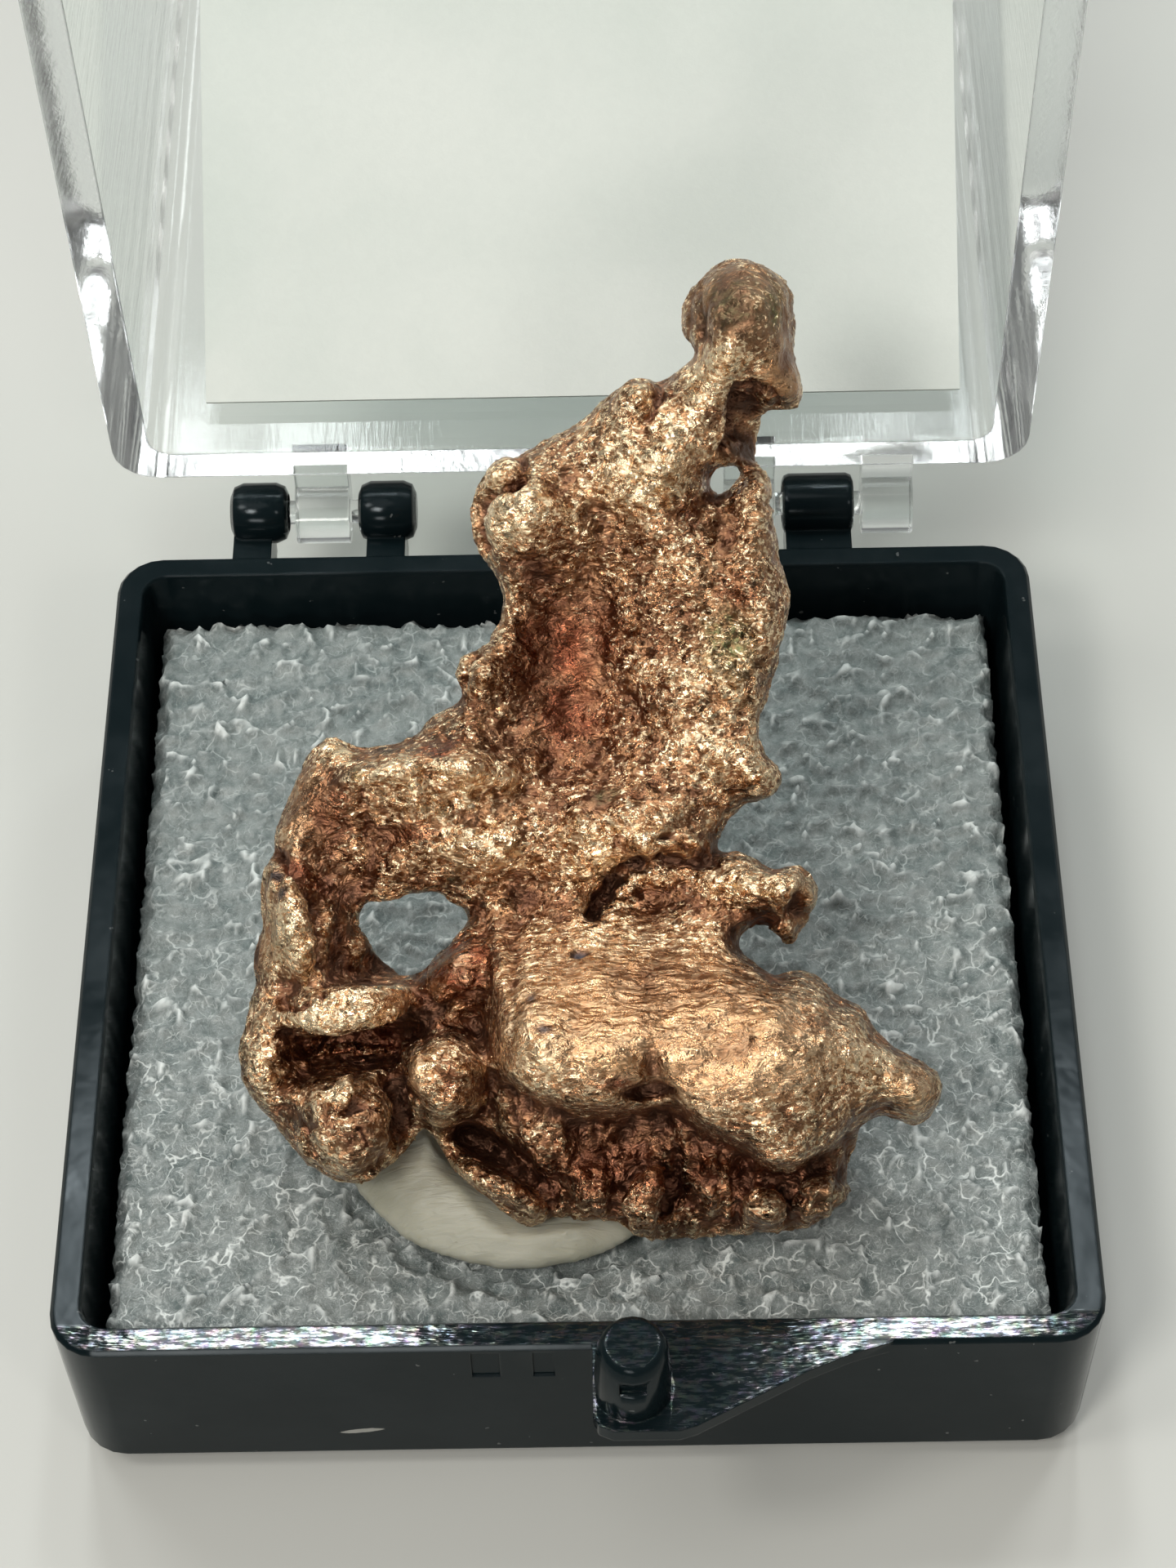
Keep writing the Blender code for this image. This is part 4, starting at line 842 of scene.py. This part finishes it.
def lid_finish():
    """Clear moulded plastic. Lamps shine through it, so that its shadow stays light."""
    s = Shader("clear_plastic_fine")
    scratch = s.noise(1.4, 4, 0.6, 0.3, s.stretched(3.0, 0.25, 3.0))
    normal = s.bump(scratch, 0.01, 0.35, s.rounded(0.1))
    s.set(Base_Color=CLEAR, Roughness=0.03, IOR=1.53, Transmission_Weight=1.0, Normal=normal)
    path = s.node("ShaderNodeLightPath").outputs
    clear = s.node("ShaderNodeBsdfTransparent")
    clear.inputs["Color"].default_value = CLEAR_SHADOW
    mixed = s.node("ShaderNodeMixShader")
    s.put(mixed.inputs[0], s.math("MAXIMUM", path["Is Shadow Ray"], path["Is Diffuse Ray"]))
    s.put(mixed.inputs[1], s.main.outputs[0])
    s.put(mixed.inputs[2], clear.outputs[0])
    s.put(s.tree.nodes["Material Output"].inputs["Surface"], mixed.outputs[0])
    return s.material


def card_finish():
    s = Shader("label_paper_fine")
    fibre = s.noise(2.5, 5, 0.7, 0.5)
    cloud = s.noise(0.12, 3)
    colour = s.mix(s.ramp(cloud, 0.3, 0.7), CARD_DIM, CARD_PALE)
    colour = s.mix(s.ramp(fibre, 0.3, 0.7, 0.0, 0.12), colour, CARD_FIBRE)
    s.set(Base_Color=colour, Roughness=0.75, Normal=s.bump(s.noise(5, 4, 0.7), 0.02, 0.35))
    return s.material


def build_pieces():
    base = smooth_copy("box_base")
    piece_from("box_base_fine", base, "base", "box_base", base_finish())
    piece_from("lid_fine", smooth_copy("lid"), "lid", "lid", lid_finish())
    card = smooth_copy("label_card")
    card = piece_from("label_card_fine", card, "lid", "label_card", card_finish())
    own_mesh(card)
    foam_piece(foam_finish())
    putty_piece(putty_finish())
    copper_piece(copper_finish())


def area_light(name, place, size, power, colour):
    light = bpy.data.lights.new(name, "AREA")
    light.shape = "RECTANGLE"
    light.size, light.size_y = size[0] * MM, size[1] * MM
    light.energy = power
    light.color = colour
    made = bpy.data.objects.new(name, light)
    made.location = Vector(place) * MM
    away = Vector(LIGHTS_AIM) * MM - made.location
    made.rotation_euler = away.to_track_quat("-Z", "Y").to_euler()
    bpy.context.scene.collection.objects.link(made)


def build_floor():
    bm = bmesh.new()
    bmesh.ops.create_grid(bm, x_segments=1, y_segments=1, size=FLOOR_HALF_WIDTH)
    mesh = bpy.data.meshes.new("floor")
    bm.to_mesh(mesh)
    bm.free()
    floor = bpy.data.objects.new("floor", mesh)
    bpy.context.scene.collection.objects.link(floor)
    s = Shader("floor_paint")
    s.set(Base_Color=FLOOR_COLOUR, Roughness=0.6)
    mesh.materials.append(s.material)


def build_world():
    world = bpy.data.worlds.new("studio")
    bpy.context.scene.world = world
    world.use_nodes = True
    tree = world.node_tree
    place = tree.nodes.new("ShaderNodeTexCoord")
    side = tree.nodes.new("ShaderNodeVectorMath")
    side.operation = "DOT_PRODUCT"
    side.inputs[1].default_value = BRIGHT_SIDE
    tree.links.new(place.outputs["Generated"], side.inputs[0])
    ramp = tree.nodes.new("ShaderNodeValToRGB")
    tree.links.new(side.outputs["Value"], ramp.inputs[0])
    for element, (position, level) in zip(ramp.color_ramp.elements, WORLD_LEVELS):
        element.position = position
        element.color = (level, level * 1.01, level, 1)
    tree.links.new(ramp.outputs[0], tree.nodes["Background"].inputs[0])


def build_camera():
    down, turn, roll = (math.radians(a) for a in (CAMERA_DOWN, CAMERA_TURN, CAMERA_ROLL))
    ahead = Vector((math.sin(turn) * math.cos(down), math.cos(turn) * math.cos(down), -math.sin(down)))
    right = ahead.cross(Vector((0, 0, 1))).normalized()
    up = right.cross(ahead)
    turned_right = right * math.cos(roll) + up * math.sin(roll)
    turned_up = up * math.cos(roll) - right * math.sin(roll)
    data = bpy.data.cameras.new("camera")
    data.lens = CAMERA_LENS
    data.sensor_width = SENSOR_WIDTH
    data.clip_start = NEAREST_SEEN
    camera = bpy.data.objects.new("camera", data)
    camera.matrix_world = Matrix((
        (turned_right.x, turned_up.x, -ahead.x, CAMERA_PLACE[0] * MM),
        (turned_right.y, turned_up.y, -ahead.y, CAMERA_PLACE[1] * MM),
        (turned_right.z, turned_up.z, -ahead.z, CAMERA_PLACE[2] * MM),
        (0, 0, 0, 1),
    ))
    bpy.context.scene.collection.objects.link(camera)
    bpy.context.scene.camera = camera


def set_bounces(cycles):
    """Enough bounces for light to find its way out of the lid's thick edges."""
    cycles.max_bounces = 24
    cycles.glossy_bounces = 16
    cycles.transmission_bounces = 20
    cycles.diffuse_bounces = 3


build_pieces()
build_floor()
build_world()
for row in LIGHTS:
    area_light(*row)
build_camera()
bpy.context.scene.view_settings.view_transform = "Standard"
set_bounces(bpy.context.scene.cycles)
bpy.context.view_layer.update()
